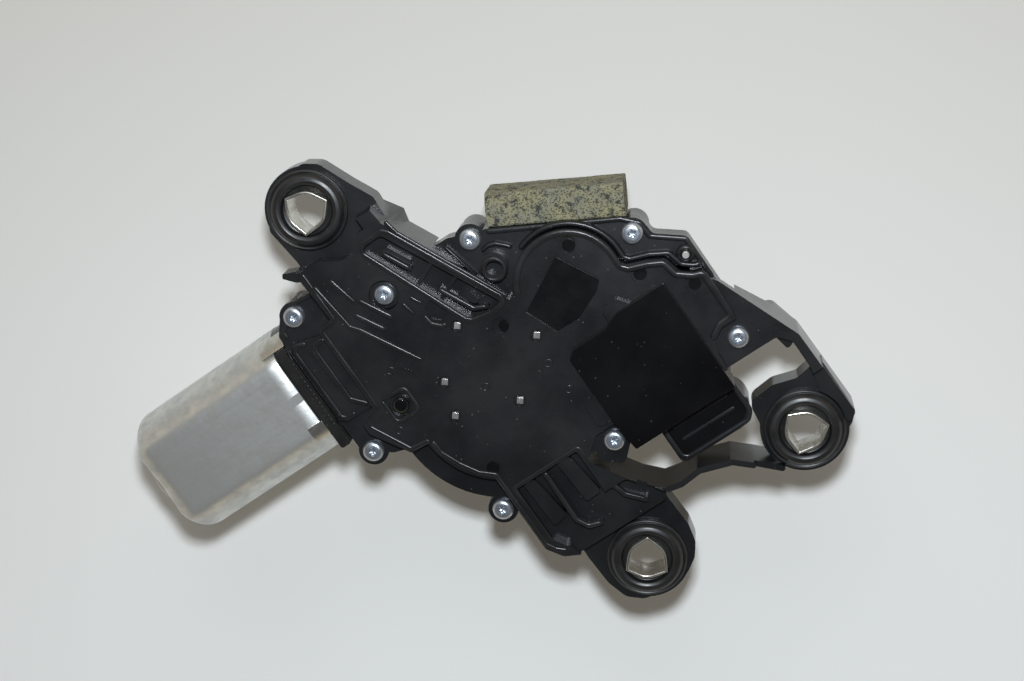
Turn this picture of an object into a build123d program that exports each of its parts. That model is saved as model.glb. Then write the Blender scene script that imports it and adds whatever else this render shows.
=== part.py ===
from build123d import *
from math import acos, atan2, cos, degrees, hypot, pi, radians, sin, sqrt, tan
import os

# Rear wiper motor. Millimetres. +Z points to the cover side, +X along the armature towards the gears,
# and the output spindle leaves downwards. The pieces are drawn with Z = 0 on the plane that the three
# mounting sleeves stand on and X = Y = 0 on the spindle's axis. They are exported lifted by
# ORIGIN_LIFT, so that the parts' common origin is the middle of the spindle's thread.

# ---- levels along Z ----
ORIGIN_LIFT = 50.0
PLATE_TOP = 18.0          # the cover's raised plate
PLATE_WALL = 2.5
FLANGE_TOP = 13.0         # the cover's screw flange
SEAM = 10.0               # underside of the cover's flange
GASKET = 0.6
HOUSING_TOP = SEAM - GASKET
HOUSING_FLANGE = 6.0      # depth of the housing's flange
CHAMBER_FLOOR = -4.0
POT_FLOOR = -11.5         # floor under the worm wheel
FLOOR_WALL = 3.0
BOX_TOP = 21.5            # the electronics box on the cover
SKIRT_FOOT = -6.0         # lower edge of the arms' walls
ARM_ROOF = 12.5           # roof of the hollows under the arms

# ---- axes ----
WHEEL = (-45.0, -20.0)    # worm wheel axis
AXIS_Y = 19.5             # armature axis
AXIS_Z = -4.0
CRANK_R = 11.0            # crank pin's radius on the wheel

# ---- screws: five on the flange, three in seats sunk in the plate ----
FLANGE_SCREWS = [(-91.5, 45.0), (-97.0, -12.5), (-69.5, -57.5), (-21.0, 32.5), (28.5, 2.0)]
SEAT_SCREWS = [(-58.0, 33.5), (39.0, -50.0), (-19.5, -57.5)]
SCREW_HEAD_R = 4.0
SCREW_HEAD_H = 2.6
SCREW_R = 2.0
SCREW_LENGTH = 13.0
SEAT_Z = 15.2             # bottom of the sunk screw seats
BOSS_R = 5.4

# ---- eyes with their grommets and sleeves ----
EYES = {"upper": (-64.5, 74.0), "lower": (-36.0, -103.0), "side": (39.5, -93.0)}
EYE_LOW, EYE_HIGH = 4.5, 9.5
EYE_HOLE_R = 10.5
GROMMET_R = 14.9
GROMMET_LOW, GROMMET_HIGH = 0.6, 13.4
COLLAR_R = (15.3, 16.1)   # thin collar of the eye round the grommet's lower half
SLEEVE_R = 6.2            # bore of the sleeve between its lobes
SLEEVE_WALL = 1.1
SLEEVE_HEIGHT = 14.0
LOBE_TIP_R = 7.9          # the sleeve's three pointed lobes, inside
LOBE_HALF_ANGLE = 38.0
LOBE_TURN = {"upper": -6.0, "lower": 55.0, "side": -18.0}

# ---- motor ----
CAN_R = 25.0
CAN_FLAT = 19.5           # half height between the can's flats
CAN_CORNER_R = 8.0
CAN_WALL = 1.6
CAN_OPEN_X = -106.5
CAN_END_X = -174.5
CAN_BOSS_X = -179.0
CAN_BOSS_R = 9.0
CAN_END_R = 7.0
SHAFT_R = 4.0
CORE_R = 16.5
MAGNET_R = (17.3, 23.0)
MAGNET_HALF_ANGLE = 36.0

# ---- gears ----
WORM_MODULE = 1.0
WHEEL_TEETH = 68
WHEEL_LOW, WHEEL_HIGH = -9.0, 1.0
WORM_LENGTH = 27.0
WORM_PITCH_R = AXIS_Y - WHEEL[1] - WORM_MODULE * WHEEL_TEETH / 2
DRIVE_MODULE = 1.5
PINION_TEETH = 14
SECTOR_TEETH = 20         # of the full circle that the sector is cut from
LEVER = DRIVE_MODULE * (PINION_TEETH + SECTOR_TEETH) / 2
LINK_LOW, LINK_HIGH = 3.5, 6.5
PINION_LOW, PINION_HIGH = 3.0, 7.0
LEVER_LOW, LEVER_HIGH = 7.2, 9.2
SPINDLE_R = 5.0
SPINDLE_TOP = 10.4
SPINDLE_TIP = -55.0
THREAD_LENGTH = 10.0
THREAD_R = 4.0
TOWER_FOOT = -34.0
RUNNING = 0.05            # radial clearance of shafts in bushes

# the lever stands square to the link at mid stroke, so O, the wheel and the link pin make a right angle
CENTRE_TO_WHEEL = hypot(*WHEEL)
LEVER_ANGLE = degrees(atan2(WHEEL[1], WHEEL[0])) + degrees(acos(LEVER / CENTRE_TO_WHEEL))
LINK_PIN = (LEVER * cos(radians(LEVER_ANGLE)), LEVER * sin(radians(LEVER_ANGLE)))
LINK_ANGLE = degrees(atan2(WHEEL[1] - LINK_PIN[1], WHEEL[0] - LINK_PIN[0]))
CRANK_ANGLE = LINK_ANGLE + 90.0
CRANK = (WHEEL[0] + CRANK_R * cos(radians(CRANK_ANGLE)), WHEEL[1] + CRANK_R * sin(radians(CRANK_ANGLE)))

# ---- plug socket ----
SHROUD = (-4.5, 28.0, -80.0, -64.0)   # x from, x to, y from, y to
SHROUD_TOP = 11.0
SHROUD_FOOT = -8.0
SOCKET_ROOF = 8.0
BOX = (-14.5, 28.7, -63.2, -17.6)
BOX_WALL = 2.5
BOARD_LOW, BOARD_HIGH = 14.0, 15.6
LEG_WALL = 2.2            # wall of the side frame's lower leg
LUG_FOOT = -13.0          # lower end of the lug under the side frame
BOARD_POSTS = [(-7.5, -57.0), (-7.5, -25.0), (21.0, -57.0), (21.0, -25.0)]


# ---------------------------------------------------------------- helpers

def rounded_outline(points, radii):
    """A closed outline of straight runs with an arc at each corner, kept within its two runs."""
    edges = []
    corner_starts, corner_ends = [], []
    for index, radius in enumerate(radii):
        corner = Vector(*points[index])
        before = Vector(*points[index - 1]) - corner
        after = Vector(*points[(index + 1) % len(points)]) - corner
        half_opening = radians(before.get_angle(after)) / 2
        corner_starts.append(corner)
        corner_ends.append(corner)
        if radius > 0 and degrees(half_opening) < 89:
            reach = min(radius / tan(half_opening), 0.48 * before.length, 0.48 * after.length)
            corner_starts[-1] = corner + before.normalized() * reach
            corner_ends[-1] = corner + after.normalized() * reach
            bisector = (before.normalized() + after.normalized()).normalized()
            crown = corner + bisector * reach * (1 / cos(half_opening) - tan(half_opening))
            edges.append(Edge.make_three_point_arc(corner_starts[-1], crown, corner_ends[-1]))
    for index, start in enumerate(corner_ends):
        edges.append(Edge.make_line(start, corner_starts[(index + 1) % len(points)]))
    return Wire(edges)


def plate(points, radii, low, high):
    """A flat piece with rounded corners between two levels."""
    return Pos(0, 0, low) * extrude(make_face(rounded_outline(points, radii)), high - low)


def disc(centre, radius, low, high):
    return Pos(centre[0], centre[1], low) * Cylinder(
        radius, high - low, align=(Align.CENTER, Align.CENTER, Align.MIN))


def ring(centre, inner, outer, low, high):
    return disc(centre, outer, low, high) - disc(centre, inner, low, high)


def block(x_from, x_to, y_from, y_to, low, high):
    return Pos(x_from, y_from, low) * Box(
        x_to - x_from, y_to - y_from, high - low, align=(Align.MIN, Align.MIN, Align.MIN))


def rib(start, end, width, low, high):
    """A straight rib with round ends between two points."""
    length = hypot(end[0] - start[0], end[1] - start[1])
    turn = degrees(atan2(end[1] - start[1], end[0] - start[0]))
    middle = ((start[0] + end[0]) / 2, (start[1] + end[1]) / 2)
    shape = extrude(SlotOverall(length + width, width), high - low)
    return Pos(middle[0], middle[1], low) * Rot(0, 0, turn) * shape


def strut(start, end, width, low, high):
    """A straight square-ended web between two points."""
    length = hypot(end[0] - start[0], end[1] - start[1])
    turn = degrees(atan2(end[1] - start[1], end[0] - start[0]))
    middle = ((start[0] + end[0]) / 2, (start[1] + end[1]) / 2)
    return Pos(middle[0], middle[1], low) * Rot(0, 0, turn) * Box(
        length, width, high - low, align=(Align.CENTER, Align.CENTER, Align.MIN))


def along_axis(x_from, x_to, radius):
    """A round bar on the armature axis."""
    return Pos(x_from, AXIS_Y, AXIS_Z) * Rot(0, 90, 0) * Cylinder(
        radius, x_to - x_from, align=(Align.CENTER, Align.CENTER, Align.MIN))


def tube_on_axis(x_from, x_to, inner, outer):
    return along_axis(x_from, x_to, outer) - along_axis(x_from, x_to, inner)


def can_profile(shrink):
    """The can's section: a circle cut by two flats, its corners rounded."""
    radius = CAN_R - shrink
    flat = CAN_FLAT - shrink
    section = Circle(radius) & Rectangle(2 * radius, 2 * flat)
    return fillet(section.vertices(), CAN_CORNER_R - shrink)


def can_bar(x_from, x_to, shrink):
    """The can's section carried along the armature axis."""
    plane = Plane(origin=(x_from, AXIS_Y, AXIS_Z), x_dir=(0, 1, 0), z_dir=(1, 0, 0))
    return extrude(plane * can_profile(shrink), x_to - x_from)


def involute_point(base_r, radius, side, lean):
    """A point of an involute flank at a radius, leant from the tooth's middle line."""
    roll = sqrt(max((radius / base_r) ** 2 - 1, 0.0))
    turn = lean - side * (roll - atan2(roll, 1.0))
    return (radius * cos(turn), radius * sin(turn))


def gear_tooth(module, teeth, backlash, turn, addendum=0.9, dedendum=1.2, pressure=20.0):
    """One involute tooth as a face, its middle line at the angle turn."""
    pitch_r = module * teeth / 2
    base_r = pitch_r * cos(radians(pressure))
    root_r = pitch_r - dedendum * module
    tip_r = pitch_r + addendum * module
    half = (pi / 2 * module - backlash) / 2 / pitch_r
    lean = half + tan(radians(pressure)) - radians(pressure)
    start_r = max(base_r, root_r)
    radii = [start_r + (tip_r - start_r) * step / 3 for step in range(4)]
    right = [involute_point(base_r, r, -1, -lean) for r in radii]
    left = [involute_point(base_r, r, 1, lean) for r in reversed(radii)]
    foot_r = root_r - 0.6
    right.insert(0, (foot_r * cos(lean), -foot_r * sin(lean)))
    left.append((foot_r * cos(lean), foot_r * sin(lean)))
    return Rot(0, 0, turn) * make_face(Polyline(*(right + left), close=True))


# ---------------------------------------------------------------- outlines shared by cover and housing

def flange_body(low, high):
    """The screw flange that the cover and the housing share."""
    main = plate(
        [(-101.0, 42.0), (-96.0, 48.0), (-86.0, 50.0), (-79.0, 47.0), (-79.0, 39.0), (-28.0, 37.5),
         (-13.0, 32.0), (27.5, 9.4), (34.3, 2.0), (34.3, -2.0), (44.0, -9.5), (44.0, -57.5),
         (28.0, -57.5), (28.0, -63.5), (-14.5, -63.5), (-14.5, -58.0), (-60.0, -58.0), (-86.0, -19.0),
         (-91.0, -17.5), (-101.0, -10.0)],
        [2, 3, 3, 2, 0, 3, 1, 0, 4, 3, 3, 3, 0, 0, 0, 0, 0, 6, 3, 3], low, high)
    main += disc(WHEEL, 40.5, low, high)
    for centre in FLANGE_SCREWS + SEAT_SCREWS:
        main += disc(centre, BOSS_R + 0.2, low, high)
    return main


def chamber(low, high):
    """The hollow inside the flange, clear of every screw boss."""
    hollow = plate(
        [(-84.0, 31.5), (-30.0, 31.5), (-12.0, 25.5), (20.0, 7.5), (26.0, -6.0), (39.0, -14.0),
         (39.0, -40.0), (25.5, -40.0), (25.5, -61.0), (-12.0, -61.0), (-12.0, -40.0), (-50.0, -45.0),
         (-76.0, -14.0), (-84.0, -8.0)],
        [0, 0, 0, 6, 0, 0, 0, 0, 0, 0, 0, 0, 0, 0], low, high)
    hollow += disc(WHEEL, 36.5, low, high)
    for centre in FLANGE_SCREWS + SEAT_SCREWS:
        hollow -= disc(centre, BOSS_R, low, high)
    return hollow


# ---------------------------------------------------------------- mounting cover

def upper_arm():
    """The arm to the upper eye: a ribbed channel with deep side walls."""
    outline = [(-79.5, 36.0), (-80.5, 57.5), (-71.0, 57.0), (-61.0, 51.0), (-54.0, 57.5), (-44.0, 57.0),
               (-38.0, 45.0), (-33.5, 36.0)]
    radii = [0, 1.5, 3, 6, 3, 3, 5, 0]
    arm = plate(outline, radii, SKIRT_FOOT, PLATE_TOP)
    hollow = plate(
        [(-77.0, 40.0), (-78.0, 54.5), (-71.5, 54.3), (-61.0, 48.0), (-53.5, 54.8), (-45.8, 54.5),
         (-40.0, 42.5), (-39.5, 40.0)],
        [1, 1, 3, 6, 2, 2, 3, 1], SKIRT_FOOT, ARM_ROOF)
    arm -= hollow
    for x in (-68.0, -55.5):
        arm += block(x - 1.0, x + 1.0, 38.0, 53.0, SKIRT_FOOT + 4, ARM_ROOF + 1)
    pad = eye_pad(
        [(-80.0, 52.0), (-79.5, 60.0), (-81.2, 75.0), (-79.0, 79.5), (-69.0, 84.5), (-60.5, 88.6),
         (-56.5, 88.8), (-51.6, 85.4), (-46.3, 73.2), (-42.0, 64.5), (-43.0, 50.0)],
        [0, 8, 2, 2, 6, 2, 3, 5, 12, 4, 0], EYES["upper"])
    # the arm's right cheek leans outwards towards its foot
    foot = make_face(Polyline((-50.0, 65.5), (-45.4, 64.3), (-38.8, 54.0), (-41.0, 44.4), (-50.0, 44.4),
                              close=True))
    head = make_face(Polyline((-50.0, 62.0), (-44.2, 61.5), (-43.2, 54.0), (-41.8, 45.5), (-50.0, 45.5),
                              close=True))
    cheek = loft([Pos(0, 0, SKIRT_FOOT) * foot, Pos(0, 0, PLATE_TOP - 1) * head], ruled=True)
    cheek -= block(-60.0, -46.4, 40.0, 70.0, SKIRT_FOOT - 1, ARM_ROOF)
    arm += cheek - disc(EYES["upper"], COLLAR_R[0], SKIRT_FOOT - 1, 30)
    hook = plate([(-80.0, 54.0), (-80.0, 58.5), (-84.5, 60.5), (-85.5, 59.0), (-82.0, 55.0)],
                 [0, 0, 0.5, 0.5, 1], 8.0, PLATE_TOP - 1)
    return arm + pad + hook


def eye_pad(outline, radii, centre):
    """The thin seat round an eye's hole, with a rim under its edge."""
    pad = plate(outline, radii, EYE_LOW, EYE_HIGH) + disc(centre, COLLAR_R[1], EYE_LOW, EYE_HIGH)
    rim = plate(outline, radii, SKIRT_FOOT + 4, EYE_LOW + 0.5) \
        + disc(centre, COLLAR_R[1], SKIRT_FOOT + 4, EYE_LOW + 0.5)
    pad += rim - disc(centre, COLLAR_R[0], SKIRT_FOOT, EYE_LOW + 1)
    return pad - disc(centre, EYE_HOLE_R, -20, 20)


def lower_arm():
    """The arm to the lower eye, wide and ribbed."""
    outline = [(-64.0, -44.0), (-64.0, -78.0), (-60.0, -84.0), (-54.0, -87.0), (-17.0, -87.0),
               (-14.0, -83.5), (-20.5, -76.0), (-31.0, -60.0), (-31.0, -44.0)]
    radii = [0, 3, 3, 3, 1, 2, 6, 8, 0]
    arm = plate(outline, radii, SKIRT_FOOT, PLATE_TOP)
    arm -= plate(
        [(-61.5, -62.5), (-61.5, -77.2), (-58.5, -81.8), (-53.5, -84.4), (-18.2, -84.4), (-23.0, -77.0),
         (-32.5, -62.5)],
        [1, 2, 2, 2, 1, 4, 1], SKIRT_FOOT, ARM_ROOF)
    for x in (-52.5, -43.0):
        arm += block(x - 1.0, x + 1.0, -86.0, -61.0, SKIRT_FOOT + 4, ARM_ROOF + 1)
    pad = eye_pad(
        [(-54.5, -82.0), (-54.8, -92.0), (-54.2, -104.0), (-51.8, -112.0), (-46.0, -117.0), (-28.0, -117.2),
         (-21.5, -113.0), (-17.8, -108.0), (-16.2, -101.0), (-17.0, -82.0)],
        [0, 0, 8, 5, 6, 8, 2, 6, 6, 0], EYES["lower"])
    return arm + pad


def side_frame():
    """The open frame that carries the side eye: one thin leg down the right, one along the bottom."""
    right_leg = plate(
        [(40.0, -26.0), (44.0, -28.0), (57.5, -61.0), (58.5, -97.0), (55.0, -99.5), (50.0, -92.0),
         (54.2, -74.0), (54.2, -62.0), (50.5, -57.5), (40.0, -57.5)],
        [0, 3, 4, 2, 1, 0, 2, 4, 3, 0], SKIRT_FOOT, FLANGE_TOP + 2.5)
    right_leg -= block(30.0, 47.0, -60.0, -20.0, SKIRT_FOOT - 1, SEAM)
    # the leg's wall gets deeper away from the flange
    heading = degrees(atan2(-33.0, 13.5))
    right_leg -= Pos(42.0, -24.0, SEAM) * Rot(0, 0, heading) * Rot(0, 28, 0) * Box(
        38, 24, 30, align=(Align.MIN, Align.CENTER, Align.MAX))
    right_leg -= block(50.0, 60.0, -100.0, -76.0, FLANGE_TOP - 1, 30)
    lug = plate([(48.0, -48.5), (53.5, -51.0), (56.4, -62.0), (51.0, -64.0)], [3, 3, 1, 1],
                LUG_FOOT, FLANGE_TOP)
    path = [(-25.0, -73.0), (-15.1, -83.2), (-8.3, -84.6), (-0.2, -83.8), (11.0, -87.4), (17.3, -93.0),
            (25.0, -100.5)]
    tops = [PLATE_TOP - 1, PLATE_TOP - 1, PLATE_TOP - 1, PLATE_TOP - 1, PLATE_TOP - 2, FLANGE_TOP]
    bottom_leg = lug
    for index, top in enumerate(tops):
        bottom_leg += rib(path[index], path[index + 1], LEG_WALL, SKIRT_FOOT, top)
    hub = eye_pad(
        [(26.5, -86.0), (28.0, -74.0), (38.6, -73.0), (47.5, -75.6), (54.0, -74.5), (58.3, -76.0),
         (58.5, -97.0), (55.0, -100.5), (47.0, -104.5), (33.0, -105.5), (26.5, -100.0)],
        [0, 4, 4, 3, 1, 0, 2, 4, 0, 0, 0], EYES["side"])
    frame = right_leg + bottom_leg - disc(EYES["side"], COLLAR_R[0], SKIRT_FOOT - 1, 30)
    return frame + hub


def raised_plate():
    """The thick outline of the cover's raised plate, before its seats are sunk."""
    shape = plate(
        [(-86.0, 36.5), (-33.5, 36.5), (-21.0, 7.0), (0.0, 0.0), (18.5, -1.0), (21.0, -5.5), (28.0, -8.2),
         (34.0, -11.5), (35.5, -18.0), (39.5, -21.0), (42.5, -22.0), (42.5, -57.5), (-14.5, -57.5),
         (-62.5, -57.5), (-62.5, -40.0), (-77.0, -20.5), (-84.0, -20.5), (-93.0, -6.0), (-93.0, -1.0),
         (-86.0, 1.0)],
        [2, 0, 1, 0, 0, 3, 6, 3, 3, 3, 1, 2, 0, 0, 0, 2, 2, 2, 2, 2], SEAM, PLATE_TOP)
    shape += disc(WHEEL, 32.0, SEAM, PLATE_TOP)
    shape += disc((0, 0), 20.0, SEAM, PLATE_TOP)
    return shape


def cover_hollow():
    """The space under the raised plate."""
    hollow = plate(
        [(-82.0, 31.0), (-36.0, 31.0), (-28.0, 8.0), (-4.0, -4.0), (31.0, -12.0), (38.5, -20.0),
         (38.5, -40.0), (20.0, -54.0), (-10.0, -54.0), (-28.0, -44.0), (-55.0, -46.0), (-73.0, -17.0),
         (-82.0, -12.0)],
        [2, 2, 2, 0, 3, 3, 3, 2, 3, 3, 6, 3, 2], SEAM - 1, PLATE_TOP - PLATE_WALL)
    hollow += disc(WHEEL, 29.0, SEAM - 1, PLATE_TOP - PLATE_WALL)
    hollow += disc((0, 0), 17.0, SEAM - 1, PLATE_TOP - PLATE_WALL)
    hollow += block(BOX[0] + BOX_WALL, BOX[1] - BOX_WALL, BOX[2] + BOX_WALL, BOX[3] - 2 * BOX_WALL,
                    SEAM - 1, BOX_TOP - BOX_WALL)
    for centre in SEAT_SCREWS + FLANGE_SCREWS:
        hollow -= disc(centre, BOSS_R, SEAM - 2, PLATE_TOP)
    return hollow


RECESSES = [(-29.0, 1.0), (8.0, 12.0), (23.0, -11.0), (37.0, -24.0), (-62.0, -42.0)]
CONTACTS = [(-62.6, -17.7), (-58.4, -5.1), (-42.4, 9.5), (-20.4, -9.3), (-39.4, -26.0)]
CONTACT_TURN = 52.0
LOCATING_R = 1.3
LOCATING_PIN = (40.2, -14.6)
HOLLOW_BOSS = (-19.2, 20.0)
DOME = (-76.7, -3.2)


def mounting_cover():
    """Cover plate, arms, electronics box and plug shroud in one moulding."""
    cover = flange_body(SEAM, FLANGE_TOP) + raised_plate()
    cover += plate([(-100.0, 38.0), (-86.0, 34.0), (-86.0, 2.0), (-100.0, 2.0)], [3, 0, 0, 3], SEAM, 15.0)
    cover += plate([(-93.6, 33.5), (-84.0, 35.0), (-84.0, 0.0), (-92.7, 8.0)], [3, 0, 0, 3], SEAM, 16.4)
    box = plate([(BOX[0], -22.5), (-11.5, -20.2), (2.5, -20.2), (9.0, BOX[3]), (BOX[1], BOX[3]), (BOX[1], BOX[2]),
                 (BOX[0] + 1, BOX[2]), (BOX[0], -50.0)], [0] * 8, SEAM, BOX_TOP)
    cover += chamfer(box.faces().sort_by(Axis.Z)[-1].edges(), 0.9)
    cover += plate([(-20.8, -49.8), (-20.8, -41.0), (-14.0, -38.0), (-14.0, -50.2)], [1.5, 1.5, 0, 0], SEAM, 19.2)
    cover += plate([(4.5, -21.0), (4.5, -13.6), (11.5, -13.6), (15.0, -18.5), (15.0, -21.0)],
                   [0, 2, 2, 0, 0], SEAM, 20.2)
    cover += (upper_arm() + lower_arm() + side_frame()) - flange_body(SKIRT_FOOT - 1, SEAM)
    cover -= cover_hollow()
    for centre in BOARD_POSTS:
        cover += disc(centre, 2.2, BOARD_HIGH, BOX_TOP - BOX_WALL + 0.5)
    cover -= along_axis(-101.5, -85.0, CORE_R) & block(-102, -84, 4, 35, SEAM - 1, 13.6)
    # the channel between the upper arm's two long ribs, and the sunk field of the lower arm
    cover += plate([(-58.0, 40.0), (-38.0, 40.0), (-21.0, 7.0), (-40.0, 7.0)], [1, 1, 1, 1], 12.0, 16.0)
    cover -= plate([(-55.6, 52.0), (-46.0, 52.0), (-24.0, 8.5), (-30.0, 7.0), (-37.0, 9.5)],
                   [2, 2, 1, 2, 3], 14.0, 30)
    cover += plate([(-50.6, 48.2), (-47.2, 47.4), (-42.4, 38.0), (-44.6, 36.2)], [0.8] * 4, 13, PLATE_TOP - 1.8)
    cover += plate([(-37.0, 19.8), (-31.4, 17.6), (-30.4, 12.2), (-32.6, 12.6)], [0.8] * 4, 13, PLATE_TOP - 1.8)
    for start, end in (((-49.5, 46.0), (-44.5, 36.4)), ((-40.0, 24.0), (-33.6, 11.6)), ((-33.6, 11.6), (-29.4, 9.6))):
        cover += rib(start, end, 1.8, 13, PLATE_TOP - 0.8)
    cover += strut((-47.5, 29.0), (-36.0, 34.0), 1.4, 13, PLATE_TOP - 1.4)
    cover += strut((-43.0, 20.0), (-31.5, 25.0), 1.4, 13, PLATE_TOP - 1.4)
    for start, end in (((-70.8, 48.4), (-68.3, 37.3)), ((-70.8, 33.4), (-64.9, 23.3)),
                       ((-66.5, 36.8), (-60.2, 25.5)), ((-77.3, 50.0), (-75.1, 31.0)),
                       ((-75.1, 31.0), (-72.6, 28.0)), ((-72.6, 28.0), (-60.3, 6.4))):
        cover += rib(start, end, 1.4, PLATE_TOP - 1, PLATE_TOP + 0.6)
    cover -= plate([(-48.2, 21.5), (-45.4, 23.0), (-42.4, 20.3), (-42.2, 15.6), (-45.6, 14.2), (-48.6, 17.0)],
                   [1] * 6, 16.8, 30)
    cover -= plate([(-60.0, -53.0), (-60.0, -76.0), (-56.0, -82.0), (-27.0, -82.0), (-33.0, -72.0),
                    (-33.0, -53.0)], [1, 3, 3, 1, 3, 1], 14.2, 30)
    cover -= plate([(-58.0, -75.5), (-55.5, -82.0), (-53.5, -90.0), (-10.0, -90.0), (-17.0, -80.0),
                    (-24.0, -71.5), (-34.0, -71.5), (-34.0, -75.5)], [2, 3, 0, 0, 3, 3, 1, 1], 14.2, 30)
    for start, end in (((-47.7, -52.0), (-48.2, -75.0)), ((-48.2, -75.0), (-45.6, -79.6)),
                       ((-45.6, -79.6), (-41.0, -80.8)), ((-32.4, -52.0), (-32.2, -61.0)),
                       ((-32.2, -61.0), (-27.6, -76.5)), ((-27.6, -76.5), (-22.0, -82.5))):
        cover += rib(start, end, 1.8, 13.5, PLATE_TOP - 0.8)
    cover += plate([(-56.9, -52.8), (-52.3, -53.6), (-49.8, -71.3), (-56.2, -72.7)], [1.2] * 4, 13.5, PLATE_TOP - 0.7)
    cover += plate([(-42.0, -53.0), (-36.5, -53.4), (-34.2, -70.6), (-40.9, -71.3)], [1.2] * 4, 13.5, PLATE_TOP - 0.7)
    # shroud of the plug socket, open downwards, with a round right end
    x_from, x_to, y_from, y_to = SHROUD
    end_r = (y_to - y_from) / 2 - 0.1
    cover += plate([(x_from, y_to + 1), (x_from, y_from), (x_to, y_from), (x_to, y_to + 1)],
                   [0, 2.5, end_r, 0], SEAM, SHROUD_TOP)
    cover += plate([(x_from, y_to), (x_from, y_from), (x_to, y_from), (x_to, y_to)],
                   [2, 2.5, end_r, end_r - 0.5], SHROUD_FOOT, SHROUD_TOP)
    cover -= plate([(x_from + 2, y_to - 2), (x_from + 2, y_from + 2), (x_to - 2, y_from + 2),
                    (x_to - 2, y_to - 2)],
                   [1.5, 1.5, end_r - 2.2, end_r - 2.2], SHROUD_FOOT - 1, SOCKET_ROOF)
    # sunk seats and small recesses
    for centre in SEAT_SCREWS:
        cover -= disc(centre, 5.6, SEAT_Z, 30)
    cover -= plate([(46.0, -58.0), (29.9, -58.0), (30.2, -51.0), (31.6, -46.6), (35.6, -43.4), (46.0, -43.4)],
                   [0, 0, 2, 3, 3, 0], SEAT_Z, 30)
    cover += plate([(-29.0, -56.0), (-27.5, -62.0), (-21.5, -67.5), (-13.5, -60.0), (-13.5, -52.0)],
                   [0, 2, 3, 2, 0], SEAM, SEAT_Z)
    cover -= plate([(-30.0, -57.0), (-27.5, -62.0), (-21.5, -68.0), (-12.0, -60.0), (-14.6, -52.0),
                    (-24.0, -52.0)], [0, 1, 2, 0, 0, 2], SEAT_Z, 30)
    for centre in RECESSES:
        cover -= disc(centre, 3.0, PLATE_TOP - 0.8, 30)
    for centre in CONTACTS:
        cover -= disc(centre, 2.3, PLATE_TOP - 1.4, 30)
        cover -= Pos(centre[0], centre[1], PLATE_TOP - 4) * Rot(0, 0, CONTACT_TURN) * Box(2.4, 2.4, 8)
    cover -= plate([(-18.8, 0.3), (2.0, 11.4), (10.8, -4.8), (7.3, -8.4), (-4.1, -13.2), (-13.3, -12.8)],
                   [0.5, 0.5, 1, 2, 4, 1], PLATE_TOP - 0.4, 30)
    cover -= ring(DOME, 3.3, 4.4, PLATE_TOP - 1.5, 30)
    cover -= disc(LOCATING_PIN, 3.4, 14.5, 30)
    cover += ring(HOLLOW_BOSS, 2.9, 5.2, FLANGE_TOP - 1, 16.5)
    for centre in FLANGE_SCREWS:
        cover -= disc(centre, SCREW_HEAD_R + 0.6, FLANGE_TOP, 30)
    for centre in FLANGE_SCREWS + SEAT_SCREWS:
        cover -= disc(centre, SCREW_R + 0.25, 0, 30)
    cover -= disc(LOCATING_PIN, LOCATING_R, 8, 30)
    for name in EYES:
        cover -= disc(EYES[name], EYE_HOLE_R, -20, 30)
        cover -= disc(EYES[name], GROMMET_R + 0.5, EYE_HIGH, 30)
    return cover


# ---------------------------------------------------------------- gear housing

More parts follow.
